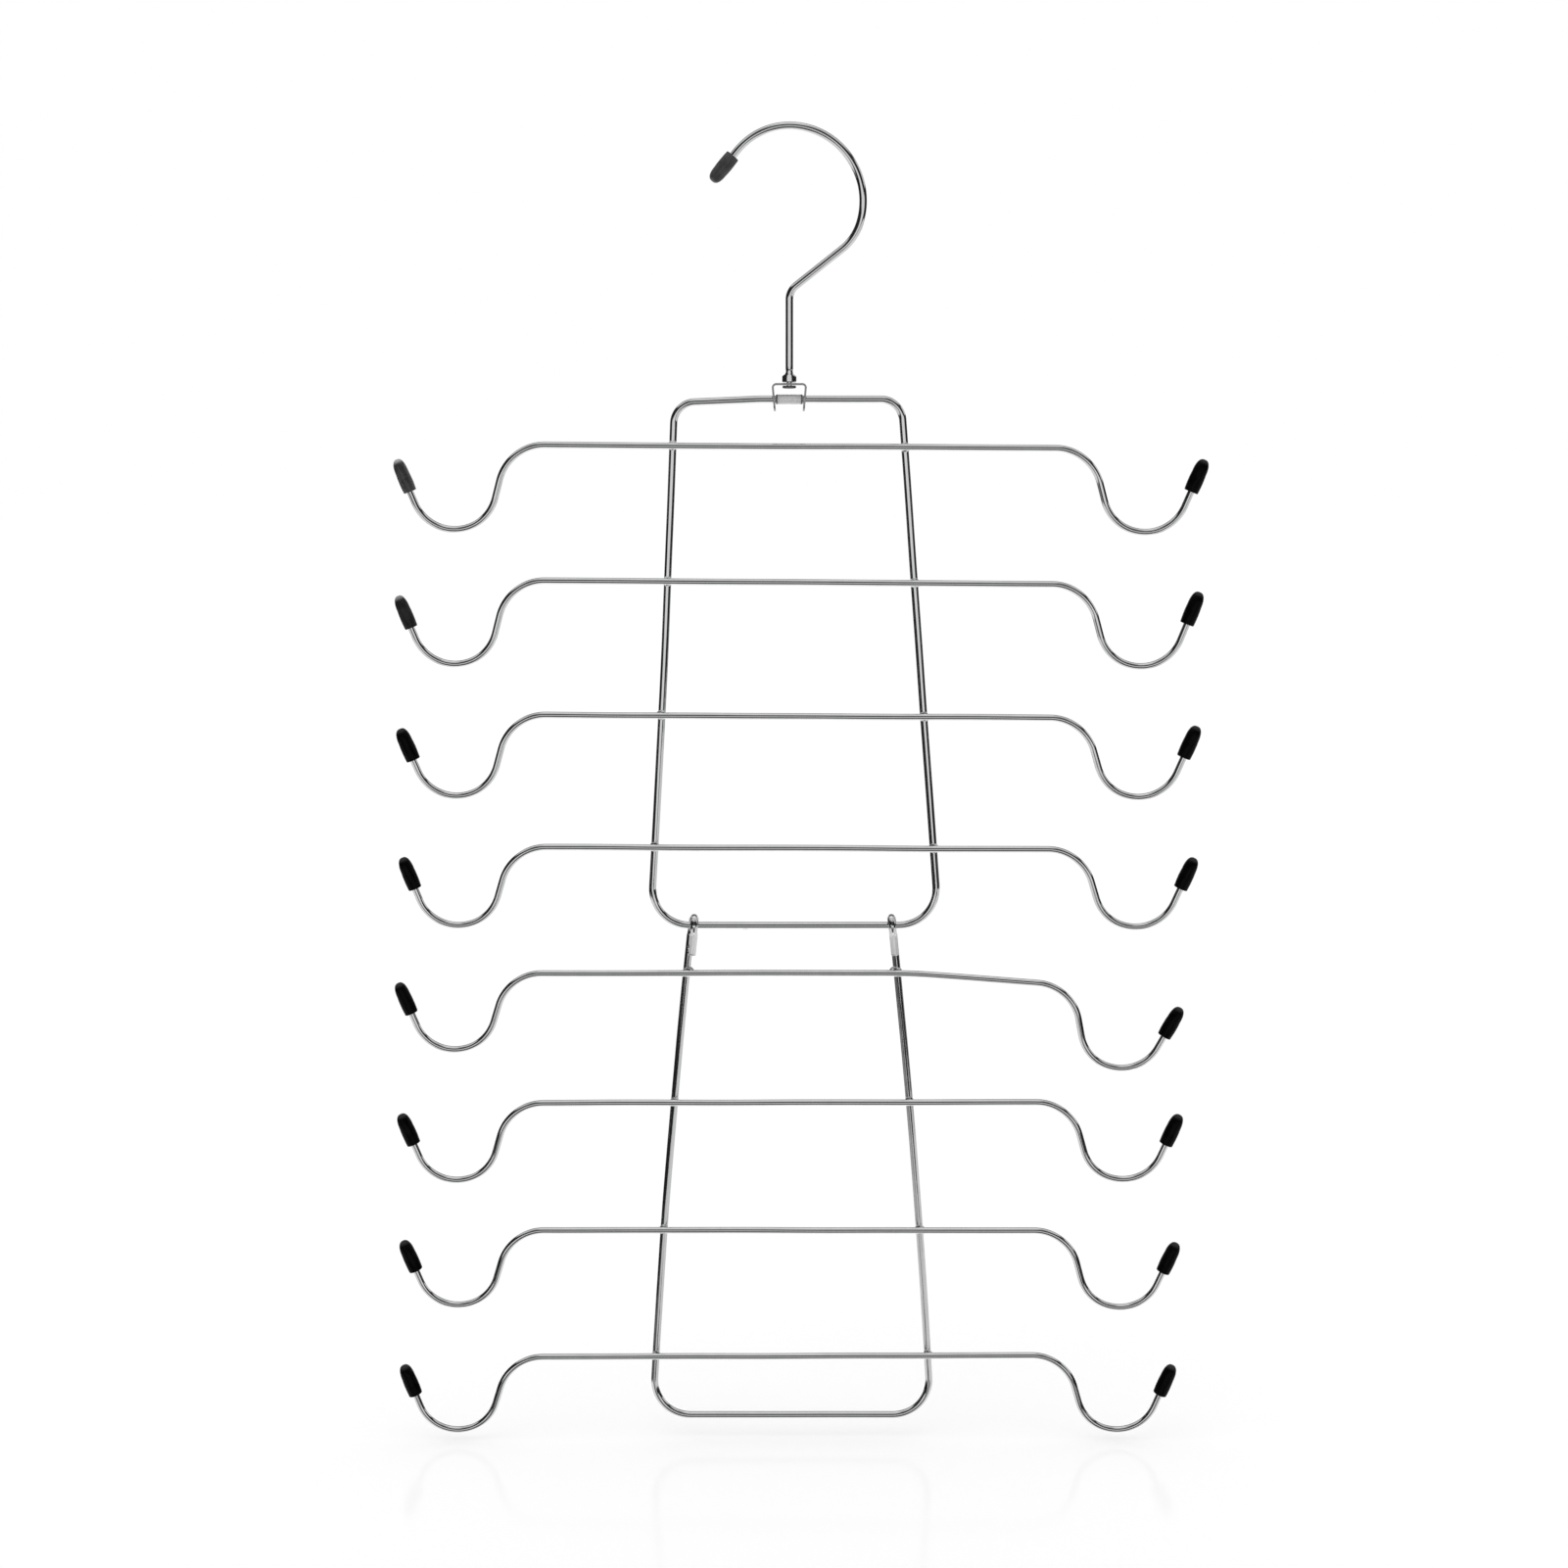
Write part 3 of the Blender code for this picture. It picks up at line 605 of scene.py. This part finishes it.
def make_bracket():
    """The folded strip, with softened edges, drilled for the shank and the wire."""
    top = TOP_WIRE_Z + BRACKET_DROP
    half = BRACKET_WIDTH / 2
    ear_length = BRACKET_DROP + EAR_TAIL
    foot = (half - ear_length * math.tan(EAR_PINCH), top - ear_length)
    right = filleted((0, top), (half, top), foot, BRACKET_CORNER) + [foot]
    outline = [(-x, z) for x, z in reversed(right)] + right
    shape = bmesh.new()
    front = [shape.verts.new((x, -BRACKET_DEPTH / 2, z)) for x, z in outline]
    back = [shape.verts.new((x, BRACKET_DEPTH / 2, z)) for x, z in outline]
    for index in range(len(outline) - 1):
        shape.faces.new((front[index], front[index + 1], back[index + 1], back[index]))
    feet = [front[0], front[-1], back[0], back[-1]]
    bmesh.ops.bevel(shape, geom=feet, offset=EAR_ROUND, segments=10, profile=0.5, affect="VERTICES")
    mesh = bpy.data.meshes.new("bracket_sheet")
    shape.to_mesh(mesh)
    shape.free()
    rough = bpy.data.objects.new("bracket_rough", mesh)
    bpy.context.scene.collection.objects.link(rough)
    strip = rough.modifiers.new("sheet", "SOLIDIFY")
    strip.thickness = SHEET
    strip.offset = -1
    strip.use_even_offset = True
    across = Matrix.Translation((0, 0, TOP_WIRE_Z)) @ Matrix.Rotation(math.pi / 2, 4, "Y")
    upright = Matrix.Translation((0, 0, top))
    tools = [
        hole_cutter(FRAME_WIRE / 2 + RUN_GAP, BRACKET_WIDTH + 4 * mm, across),
        hole_cutter(SHANK / 2 + RUN_GAP, 4 * mm, upright),
    ]
    for tool in tools:
        cut = rough.modifiers.new(tool.name, "BOOLEAN")
        cut.operation = "DIFFERENCE"
        cut.object = tool
    soft = rough.modifiers.new("soft_edges", "BEVEL")
    soft.width = 0.14 * mm
    soft.segments = 3
    soft.limit_method = "ANGLE"
    soft.angle_limit = math.radians(40)
    soft.harden_normals = False
    bpy.context.view_layer.update()
    graph = bpy.context.evaluated_depsgraph_get()
    final = bpy.data.meshes.new_from_object(rough.evaluated_get(graph))
    final.name = "bracket_sheet"
    for spare in [rough] + tools:
        bpy.data.objects.remove(spare)
    final.materials.clear()
    final.shade_smooth()
    final.set_sharp_from_angle(angle=math.radians(35))
    piece("bracket_sheet", final, SHEARED, "bracket", "swivel_bracket")


def make_sleeve():
    """The crimped tube: slightly squashed, with rolled ends and shallow crimp dents."""
    pinch_at_wire = BRACKET_DROP * math.tan(EAR_PINCH)
    between_ears = BRACKET_WIDTH - 2 * (SHEET / math.cos(EAR_PINCH) + pinch_at_wire)
    bore = FRAME_WIRE / 2 + CRIMP_GAP
    outer = bore + SLEEVE_WALL
    half = between_ears / 2 - outer * math.tan(EAR_PINCH) - RUN_GAP
    edge = 0.12 * mm
    rim = [(half - edge, outer), (half, outer - 0.1 * mm), (half, bore + 0.1 * mm)]
    rim.append((half - edge * 0.2, bore + 0.02 * mm))
    stations = [(-x, r) for x, r in reversed(rim)]
    for step in range(1, SLEEVE_RINGS):
        x = -half + edge + (2 * half - 2 * edge) * step / SLEEVE_RINGS
        dent = sum(math.exp(-(((x - share * half) / DENT_WIDTH) ** 2)) for share in DENTS)
        stations.append((x, outer - DENT_DEPTH * dent))
    stations += rim
    rings = []
    for x, r in stations:
        ring = []
        for side in range(CAP_SIDES):
            a = 2 * math.pi * side / CAP_SIDES
            ring.append(Vector((x, r * math.cos(a), TOP_WIRE_Z + r * math.sin(a))))
        rings.append(ring)
    mesh = smooth_mesh("crimped_sleeve", rings, closed=True, sharp=40)
    piece("crimped_sleeve", mesh, STEEL, "upper_panel", "bracket_sleeve")


# Frames


def wavy(route, amount, seed):
    """Slow hand-bent waviness in the panel's plane, none in its depth."""
    offset = Vector((seed * 5.3, seed * 2.1, 0))
    moved = []
    for point in route:
        sway = noise.noise_vector(point * 22 + offset)
        moved.append(point + Vector((sway.x, 0, sway.z)) * amount)
    return moved


def upper_frame_route():
    half_top = UPPER_TOP_WIDTH / 2
    half_bottom = UPPER_BOTTOM_WIDTH / 2
    corners = [
        (UPPER_TOP_SHIFT - half_top, -TOP_LEFT_DROP, TOP_CORNER),
        (UPPER_BOTTOM_SHIFT - half_bottom, -UPPER_HEIGHT, BOTTOM_CORNER),
        (UPPER_BOTTOM_SHIFT + half_bottom, -UPPER_HEIGHT, BOTTOM_CORNER),
        (UPPER_TOP_SHIFT + half_top, 0, TOP_CORNER),
    ]
    bowed_x = (corners[0][0] + corners[1][0]) / 2 + UPPER_LEFT_BOW
    bow = (bowed_x, -UPPER_HEIGHT / 2)
    top_bend = (-TOP_LEFT_START, 0)
    neighbours = [(top_bend, bow), (bow, corners[2]), (corners[1], corners[3]), (corners[2], top_bend)]
    bends = []
    for (x, z, radius), (before, after) in zip(corners, neighbours):
        bends.append(filleted(before[:2], (x, z), after[:2], radius))
    bow_radius = UPPER_HEIGHT**2 / (16 * UPPER_LEFT_BOW)
    bowed_leg = filleted(bends[0][-1], bow, bends[1][0], bow_radius)
    sloping = filleted(bends[3][-1], top_bend, bends[0][0], TOP_BEND_RADIUS)
    route = in_plane(bends[0] + bowed_leg + bends[1] + bends[2] + bends[3] + sloping, 0)
    return [point + Vector((0, 0, TOP_WIRE_Z)) for point in route]


def eye_points(leg_x, slope, side, lean):
    eye = FRAME_WIRE + RUN_GAP
    throat = EYE_THROAT_RADIUS
    reach = STRAND_OFFSET + throat
    drop = math.sqrt((eye + throat) ** 2 - reach**2)
    spread_angle = math.atan2(drop, reach)
    behind = (STRAND_OFFSET, -drop)
    flat = [behind]
    flat += arc((reach, -drop), throat, math.pi, -spread_angle)
    for y, z in arc((0, 0), eye, -spread_angle, math.pi + 2 * spread_angle):
        # the top is bent a little squarer than a circle
        round_share = (abs(y) ** EYE_SQUARENESS + max(z, 0) ** EYE_SQUARENESS) ** (1 / EYE_SQUARENESS)
        swell = eye / round_share if z > 0 else 1
        flat.append((y * swell, z * swell))
    flat += arc((-reach, -drop), throat, spread_angle, -spread_angle)
    points = []
    for index, (y, z) in enumerate(flat):
        inboard = -side * lean * index / (len(flat) - 1)
        points.append(Vector((leg_x - slope * (z + drop) + inboard, y, z)))
    end = points[-1]
    run = EYE_TAIL - drop
    points.append(end + Vector((slope * run, 0, -run)))
    return points, drop


def lower_frame_route():
    half_top = UPPER_BOTTOM_WIDTH / 2 - EYE_INSET
    half_bottom = (UPPER_BOTTOM_WIDTH - LOWER_NARROWING) / 2

    def half_width(down_share):
        straight = half_top + (half_bottom - half_top) * down_share
        return straight + 4 * LEG_BOW * down_share * (1 - down_share)

    steps = 8
    halves = {}
    tails = {}
    for side, lean in ((-1, EYE_LEAN_LEFT), (1, EYE_LEAN_RIGHT)):
        eye_drop = eye_points(0, 0, side, lean)[1]
        top_share = eye_drop / LOWER_HEIGHT
        bottom_share = 1 - 2 * BOTTOM_CORNER / LOWER_HEIGHT
        shares = [top_share + (bottom_share - top_share) * step / steps for step in range(steps + 1)]
        leg = [(LOWER_SHIFT + side * half_width(share), -LOWER_HEIGHT * share) for share in shares]
        widening = half_width(shares[1]) - half_width(top_share)
        slope = side * widening / (LOWER_HEIGHT * (shares[1] - top_share))
        eye = eye_points(leg[0][0], slope, side, lean)[0]
        corner = (LOWER_SHIFT + side * half_bottom, -LOWER_HEIGHT)
        rounded = filleted(leg[-1], corner, (LOWER_SHIFT, -LOWER_HEIGHT), BOTTOM_CORNER)
        halves[side] = list(reversed(eye)) + in_plane(leg[1:] + rounded, STRAND_OFFSET)
        tails[side] = (leg[0][0], slope, lean, eye_drop)
    route = halves[-1] + list(reversed(halves[1]))
    return [point + Vector((0, 0, HINGE_Z)) for point in route], tails


def rounded_ends(rings):
    """Turns the flat ends of a wire into softly sheared ones."""
    softened = []
    for end, toward in ((rings[0], rings[1]), (rings[-1], rings[-2])):
        centre = sum(end, Vector()) / len(end)
        inner = sum(toward, Vector()) / len(toward)
        out = (centre - inner).normalized()
        soft = []
        for back, share in ((0.7 * mm, 1.0), (0.35 * mm, 1.0), (0.12 * mm, 0.93), (0, 0.78)):
            soft.append([centre - out * back + (point - centre) * share for point in end])
        softened.append(soft)
    start, finish = softened
    return list(reversed(start)) + rings[1:-1] + finish


def make_frames():
    upper = upper_frame_route()
    upper_fine = wavy(subdivided(upper, closed=True), FRAME_WAVE, 1)
    mesh = wire_mesh("upper_loop", upper_fine, FRAME_WIRE, closed=True)
    piece("upper_loop", mesh, CHROME, "upper_panel", "upper_frame")
    lower, tails = lower_frame_route()
    lower_fine = wavy(subdivided(lower), FRAME_WAVE, 2)
    radii = []
    for point in lower_fine:
        # the bending flattened the wire a little at the top of the eyes
        above_hinge = min(1, max(0, (point.z - HINGE_Z) / FRAME_WIRE))
        radii.append((FRAME_WIRE / 2 * (1 + EYE_FLATTENING * above_hinge), FRAME_WIRE / 2))
    rings = rounded_ends(wire_rings(lower_fine, radii))
    loop = smooth_mesh("lower_loop", rings)
    loop.materials.append(CHROME)
    loop.materials.append(STRETCHED)
    for face in loop.polygons:
        # the tails in front are duller than the rest
        if face.center.y < -STRAND_OFFSET / 2 and face.center.z < HINGE_Z - FRAME_WIRE:
            face.material_index = 1
    piece("lower_loop", loop, CHROME, "lower_panel", "lower_frame")
    return upper_fine, lower_fine, tails


# Bars


def bar_half(longer, form, droop):
    """The right half of a bar from its middle, with the place and direction of the cap's rim."""
    straight = (BAR_STRAIGHT + longer * mm) / 2
    turn = SHOULDER_TURN + math.radians(form.shoulder)
    seat_turn = turn + TIP_RISE + math.radians(form.tip)
    if droop:
        arm = [Run(DROOP_START), Bend(DROOP_RADIUS, -droop)]
        arm.append(Run(straight - DROOP_START - DROOP_RADIUS * math.sin(droop)))
    else:
        arm = [Run(straight)]
    dip = [Bend(SHOULDER_RADIUS, -turn), Run(STRAND), Bend(SEAT_RADIUS, seat_turn), Run(form.bare * mm)]
    points, heading = walk((0, 0), 0, arm + dip)
    rim = points[-1]
    reach = CAP_LENGTH - CAP_END - SEAT_GAP
    end = (rim[0] + reach * math.cos(heading), rim[1] + reach * math.sin(heading))
    return points[:-1] + [rim, end], rim, heading


def bar_place(tier):
    """The matrix of a bar's own frame: its middle, shifted and tilted as it was welded on."""
    form = BAR_FORMS[tier - 1]
    steps = BARS_PER_PANEL - 1
    if tier <= BARS_PER_PANEL:
        pitch = (UPPER_HEIGHT - UPPER_FIRST_BAR - UPPER_LAST_BAR) / steps
        height = TOP_WIRE_Z - UPPER_FIRST_BAR - pitch * (tier - 1)
        depth = 0
    else:
        pitch = (LOWER_HEIGHT - LOWER_FIRST_BAR - LOWER_LAST_BAR) / steps
        height = HINGE_Z - LOWER_FIRST_BAR - pitch * (tier - 1 - BARS_PER_PANEL)
        depth = STRAND_OFFSET
    return placed((form.shift * mm, depth - BAR_STAND_OFF, height), -math.radians(form.tilt))


def make_bars():
    for tier in range(1, 2 * BARS_PER_PANEL + 1):
        form = BAR_FORMS[tier - 1]
        droop = DROOP if tier == DROOPED_BAR else 0
        left, left_rim, left_heading = bar_half(form.longer, form.left, 0)
        right, right_rim, right_heading = bar_half(form.longer, form.right, droop)
        mirrored = [(-x, z) for x, z in reversed(left[1:])]
        route = subdivided(in_plane(mirrored + right, 0))
        body = "upper_panel" if tier <= BARS_PER_PANEL else "lower_panel"
        swayed = []
        for point in route:
            # the caps stay put: the waviness fades towards the tips
            free = max(0.0, 1 - abs(point.x) / BAR_WAVE_END)
            sway = noise.noise_vector(point * 20 + Vector((tier * 4.1, tier * 1.7, 0)))
            swayed.append(point + Vector((sway.x * 0.5, 0, sway.z)) * BAR_WAVE * min(1, free * 3))
        matrix = bar_place(tier)
        mesh = wire_mesh(f"cross_bar_{tier}", swayed, BAR_WIRE)
        piece(f"cross_bar_{tier}", mesh, CHROME, body, f"tier_bar_{tier}", matrix)
        ends = (("left", -1, left_rim, left_heading), ("right", 1, right_rim, right_heading))
        for side, sign, rim, heading in ends:
            name = f"bar_cap_{tier}_{side}"
            thicker = THINNER_CAPS.get((tier, side), THICK_DIP)
            cap = cap_mesh(name, BAR_WIRE, CAP_LENGTH, CAP_WALL, tier + sign * 0.3, thicker)
            spin = Matrix.Rotation(tier * 1.3 + sign, 4, "Z")
            at = matrix @ placed((sign * rim[0], 0, rim[1]), sign * (math.pi / 2 - heading)) @ spin
            # the upper left caps take the copies with painted light
            vinyl = PAINTED_LIGHT_VINYLS.get((tier, side), VINYL)
            piece(name, cap, vinyl, body, f"tip_cap_{tier}_{side}", at)


# Welds


def blob(name, centre, radii, seed, body, spin=0.0, rough=0.08):
    """A small irregular bead of weld metal."""
    shape = bmesh.new()
    bmesh.ops.create_icosphere(shape, subdivisions=4, radius=1)
    offset = Vector((seed * 3.1, seed * 7.7, seed * 1.3))
    for vert in shape.verts:
        slow = noise.noise(vert.co * 1.7 + offset)
        quick = noise.noise(vert.co * 4 + offset)
        swell = 1 + rough * slow + rough * 0.5 * quick
        vert.co = Vector((vert.co.x * radii[0], vert.co.y * radii[1], vert.co.z * radii[2])) * swell
    mesh = bpy.data.meshes.new(name)
    shape.to_mesh(mesh)
    shape.free()
    mesh.shade_smooth()
    matrix = Matrix.Translation(centre) @ Matrix.Rotation(spin, 4, "Y")
    piece(name, mesh, CHROME, body, None, matrix)


def x_at(route, height, low_x, high_x, depth):
    """Where a route crosses a height, between two x values, near a depth."""
    for a, b in zip(route, route[1:]):
        crosses = (a.z - height) * (b.z - height) <= 0 and a.z != b.z
        if crosses and low_x < a.x < high_x and abs(a.y - depth) < 1 * mm:
            return a.x + (b.x - a.x) * (height - a.z) / (b.z - a.z)
    raise ValueError("the bar misses the frame")


def make_welds(upper, lower, tails):
    for tier in range(1, 2 * BARS_PER_PANEL + 1):
        form = BAR_FORMS[tier - 1]
        matrix = bar_place(tier)
        is_upper = tier <= BARS_PER_PANEL
        route = upper + upper[:1] if is_upper else lower
        depth = 0 if is_upper else STRAND_OFFSET
        body = "upper_panel" if is_upper else "lower_panel"
        for side, low_x, high_x in (("left", -100 * mm, 0), ("right", 0, 100 * mm)):
            x = x_at(route, matrix.translation.z, low_x, high_x, depth)
            z = matrix.translation.z + (x - form.shift * mm) * math.tan(math.radians(form.tilt))
            y = depth - FRAME_WIRE / 2 - SEAT_GAP / 2
            seed = tier * 2 + (side == "left")
            blob(f"bar_weld_{tier}_{side}", (x, y, z), BEAD, seed, body, rough=0.16)
            if tier == BARS_PER_PANEL + 1:
                inboard = 1 if side == "left" else -1
                at = (x + inboard * 2.3 * mm, depth - FRAME_WIRE / 2 + 0.1 * mm, z + 1.55 * mm)
                blob(f"weld_splash_{side}", at, SPLASH, 40 + seed, body, inboard * 0.65, 0.25)
    for side, (leg_x, slope, lean, drop) in tails.items():
        word = "left" if side < 0 else "right"
        down = EYE_TAIL - drop
        for index, share in enumerate(EYE_WELD_PLACES):
            run = down * share
            tail_x = leg_x - side * lean + slope * run
            behind_x = leg_x + slope * run
            centre = ((tail_x + behind_x) / 2, 0, HINGE_Z - drop - run)
            radii = (0.95 * mm + abs(tail_x - behind_x) / 3, 1.1 * mm, 1.5 * mm)
            blob(f"eye_weld_{word}_{index + 1}", centre, radii, 60 + index + side, "lower_panel")
    blob("butt_seam", (SEAM_X, 0, HINGE_Z - SEAM_DROP), SEAM, 80, "upper_panel", rough=0.05)


make_hook()
make_bracket()
make_sleeve()
upper_route, lower_route, eye_tails = make_frames()
make_bars()
make_welds(upper_route, lower_route, eye_tails)

# Stage: white floor, white surroundings that the chrome mirrors with the dark gaps of a studio

FLOOR_Z = -564.6 * mm
FLOOR_HALF_SIZE = 6
FLOOR_TONE = 0.8
FLOOR_LIFT = 0.265  # how much the floor's own light adds where the camera sees it
FLOOR_SHEEN = 0.068
SHEEN_ROUGHNESS = 0.13
WORLD_LIGHT = 0.85
SUN = 0.32
SUN_SPREAD = math.radians(50)
SUN_PLACE = (-0.35, -0.5, 1)
CAMERA_PLACE = (-2.2 * mm, -1187.9 * mm, -78.75 * mm)
CAMERA_PITCH = math.radians(-9.22)
LENS = 65
SENSOR = 36

# The room that the chrome mirrors, as zones laid over each other
# A zone: how dark it is, and its borders, each a measure with its values where the zone is absent and full
# Some zones go on to another darkness over one more measure
# turn is the angle from the camera's side, positive to its right, and off is that angle without its sign
# y and z are the direction's own parts, and beside is how far off is past the edge of the band
ROUND_EDGE = ("off", 2.6, 2.15)
CORNER = [("off", 1.6, 2.0), ("off", 3.05, 2.8), ("z", -0.1, -0.16)]
TABLE = [("z", -0.275, -0.29), ROUND_EDGE]
BAND_EDGE = 0.25
BAND_EDGE_AT_EYE_LEVEL = 0.62
ROOM = [
    (0.985, [ROUND_EDGE]),
    # below eye level the dark goes further round
    (0.985, [*CORNER, ("turn", 0.1, -0.1), ("z", -0.4, -0.3)]),
    (0.7, [*CORNER, ("turn", -0.1, 0.1), ("z", -0.21, -0.17)]),
    # the white table: grey in front, brighter at the sides
    (0.47, TABLE, 0.92, ("z", -0.34, -0.38)),
    (0.4, [("z", -0.17, -0.21), ("turn", 0.5, 0.8), ROUND_EDGE]),
    (0.93, [*TABLE, ("turn", -0.3, -0.7)]),
    (0.3, [("z", -0.31, -0.42), ("turn", -0.5, -0.8), ("off", 3.05, 2.8)]),
    (0.3, [("z", -0.42, -0.52), ("turn", 0.5, 0.8), ROUND_EDGE]),
    # above eye level
    (0.42, [("turn", 1.1, 1.4), ROUND_EDGE, ("z", 0.18, 0.26), ("z", 0.6, 0.5)]),
    (0.5, [("z", 0.58, 0.68), ("off", 0.5, 0.8), ROUND_EDGE]),
    (0.95, [("z", 0.12, 0.22), ("off", 0.6, 0.25)], 0.4, ("z", 0.66, 0.76)),
    # the white band round the camera, wider at eye level
    (0.33, [("z", -0.218, -0.208), ("z", 0.12, 0.06), ("beside", 0.24, 0)]),
    # high up behind, straight up and straight down
    (0.85, [("off", 2.2, 2.5), ("z", 0.4, 0.5)]),
    (0.4, [("z", 0.88, 0.95)], 0.1, ("y", -0.02, 0.14)),
    (0.12, [("z", -0.88, -0.96)], 0.15, ("y", -0.1, 0.1)),
]


def calculated(tree, operation, a, b=None):
    """One step of arithmetic on numbers or sockets."""
    made = node(tree, "ShaderNodeMath", operation=operation)
    for socket, value in zip(made.inputs, (a, b)):
        if isinstance(value, (int, float)):
            socket.default_value = value
        elif value is not None:
            tree.links.new(value, socket)
    return made.outputs[0]


def fade(tree, value, absent, full):
    """0 up to absent, 1 from full on, smooth between, in either direction."""
    ramp = node(tree, "ShaderNodeMapRange", interpolation_type="SMOOTHSTEP")
    ramp.inputs["From Min"].default_value = min(absent, full)
    ramp.inputs["From Max"].default_value = max(absent, full)
    tree.links.new(value, ramp.inputs["Value"])
    rising = ramp.outputs["Result"]
    return rising if absent < full else calculated(tree, "SUBTRACT", 1, rising)


def blended(tree, factor, low, high):
    """low where the factor is 0, high where it is 1."""
    blend = node(tree, "ShaderNodeMix", data_type="FLOAT")
    sockets = (blend.inputs["Factor"], blend.inputs["A"], blend.inputs["B"])
    for socket, value in zip(sockets, (factor, low, high)):
        if isinstance(value, (int, float)):
            socket.default_value = value
        else:
            tree.links.new(value, socket)
    return blend.outputs["Result"]


def make_world():
    """White all round, except for the unlit parts of the studio that the chrome mirrors."""
    world = bpy.data.worlds.new("studio")
    bpy.context.scene.world = world
    world.use_nodes = True
    tree = world.node_tree
    tree.nodes.clear()
    coords = node(tree, "ShaderNodeTexCoord")
    axes = node(tree, "ShaderNodeSeparateXYZ")
    tree.links.new(coords.outputs["Generated"], axes.inputs[0])
    x, y, z = axes.outputs
    turn = calculated(tree, "ARCTAN2", x, calculated(tree, "MULTIPLY", y, -1))
    off = calculated(tree, "ABSOLUTE", turn)
    edge = blended(tree, fade(tree, z, -0.22, -0.04), BAND_EDGE, BAND_EDGE_AT_EYE_LEVEL)
    beside = calculated(tree, "SUBTRACT", off, edge)
    measures = {"turn": turn, "off": off, "y": y, "z": z, "beside": beside}
    level = 0
    for dark, fades, *change in ROOM:
        factor = 1
        for measure, absent, full in fades:
            factor = calculated(tree, "MULTIPLY", fade(tree, measures[measure], absent, full), factor)
        if change:
            other, (measure, absent, full) = change
            dark = blended(tree, fade(tree, measures[measure], absent, full), dark, other)
        level = blended(tree, factor, level, dark)
    mirrored = calculated(tree, "SUBTRACT", 1, level)
    path = node(tree, "ShaderNodeLightPath")
    lit = blended(tree, path.outputs["Is Glossy Ray"], WORLD_LIGHT, mirrored)
    seen = blended(tree, path.outputs["Is Camera Ray"], lit, 1.0)
    background = node(tree, "ShaderNodeBackground")
    background.inputs["Color"].default_value = (1, 1, 1, 1)
    tree.links.new(seen, background.inputs["Strength"])
    output = node(tree, "ShaderNodeOutputWorld")
    tree.links.new(background.outputs[0], output.inputs["Surface"])


def make_floor():
    shape = bmesh.new()
    bmesh.ops.create_grid(shape, x_segments=1, y_segments=1, size=FLOOR_HALF_SIZE)
    mesh = bpy.data.meshes.new("floor")
    shape.to_mesh(mesh)
    shape.free()
    floor = bpy.data.objects.new("floor", mesh)
    bpy.context.scene.collection.objects.link(floor)
    floor.location = (0, 0, FLOOR_Z)
    floor.visible_glossy = False
    material = bpy.data.materials.new("white_sweep")
    material.use_nodes = True
    tree = material.node_tree
    tree.nodes.clear()
    diffuse = node(tree, "ShaderNodeBsdfDiffuse")
    diffuse.inputs["Color"].default_value = (FLOOR_TONE, FLOOR_TONE, FLOOR_TONE, 1)
    gloss = node(tree, "ShaderNodeBsdfGlossy")
    gloss.inputs["Roughness"].default_value = SHEEN_ROUGHNESS
    sheen = node(tree, "ShaderNodeMixShader")
    sheen.inputs[0].default_value = FLOOR_SHEEN
    tree.links.new(diffuse.outputs[0], sheen.inputs[1])
    tree.links.new(gloss.outputs[0], sheen.inputs[2])
    lift = node(tree, "ShaderNodeEmission")
    lift.inputs["Strength"].default_value = FLOOR_LIFT
    lifted = node(tree, "ShaderNodeAddShader")
    tree.links.new(sheen.outputs[0], lifted.inputs[0])
    tree.links.new(lift.outputs[0], lifted.inputs[1])
    path = node(tree, "ShaderNodeLightPath")
    seen = node(tree, "ShaderNodeMixShader")
    tree.links.new(path.outputs["Is Camera Ray"], seen.inputs[0])
    tree.links.new(sheen.outputs[0], seen.inputs[1])
    tree.links.new(lifted.outputs[0], seen.inputs[2])
    output = node(tree, "ShaderNodeOutputMaterial")
    tree.links.new(seen.outputs[0], output.inputs["Surface"])
    mesh.materials.append(material)


def make_sun():
    """One wide soft light from above, a little to the front left, as even on the floor as daylight."""
    lamp = bpy.data.lights.new("wide_light", "SUN")
    lamp.energy = SUN
    lamp.angle = SUN_SPREAD
    holder = bpy.data.objects.new("wide_light", lamp)
    bpy.context.scene.collection.objects.link(holder)
    holder.visible_glossy = False
    holder.rotation_euler = Vector(SUN_PLACE).to_track_quat("Z", "Y").to_euler()


def make_camera():
    camera = bpy.data.cameras.new("camera")
    camera.sensor_width = SENSOR
    camera.lens = LENS
    camera.clip_start = 0.01
    holder = bpy.data.objects.new("camera", camera)
    bpy.context.scene.collection.objects.link(holder)
    holder.location = CAMERA_PLACE
    holder.rotation_euler = (math.pi / 2 + CAMERA_PITCH, 0, 0)
    bpy.context.scene.camera = holder


make_world()
make_floor()
make_sun()
make_camera()
bpy.context.scene.view_settings.view_transform = "Standard"
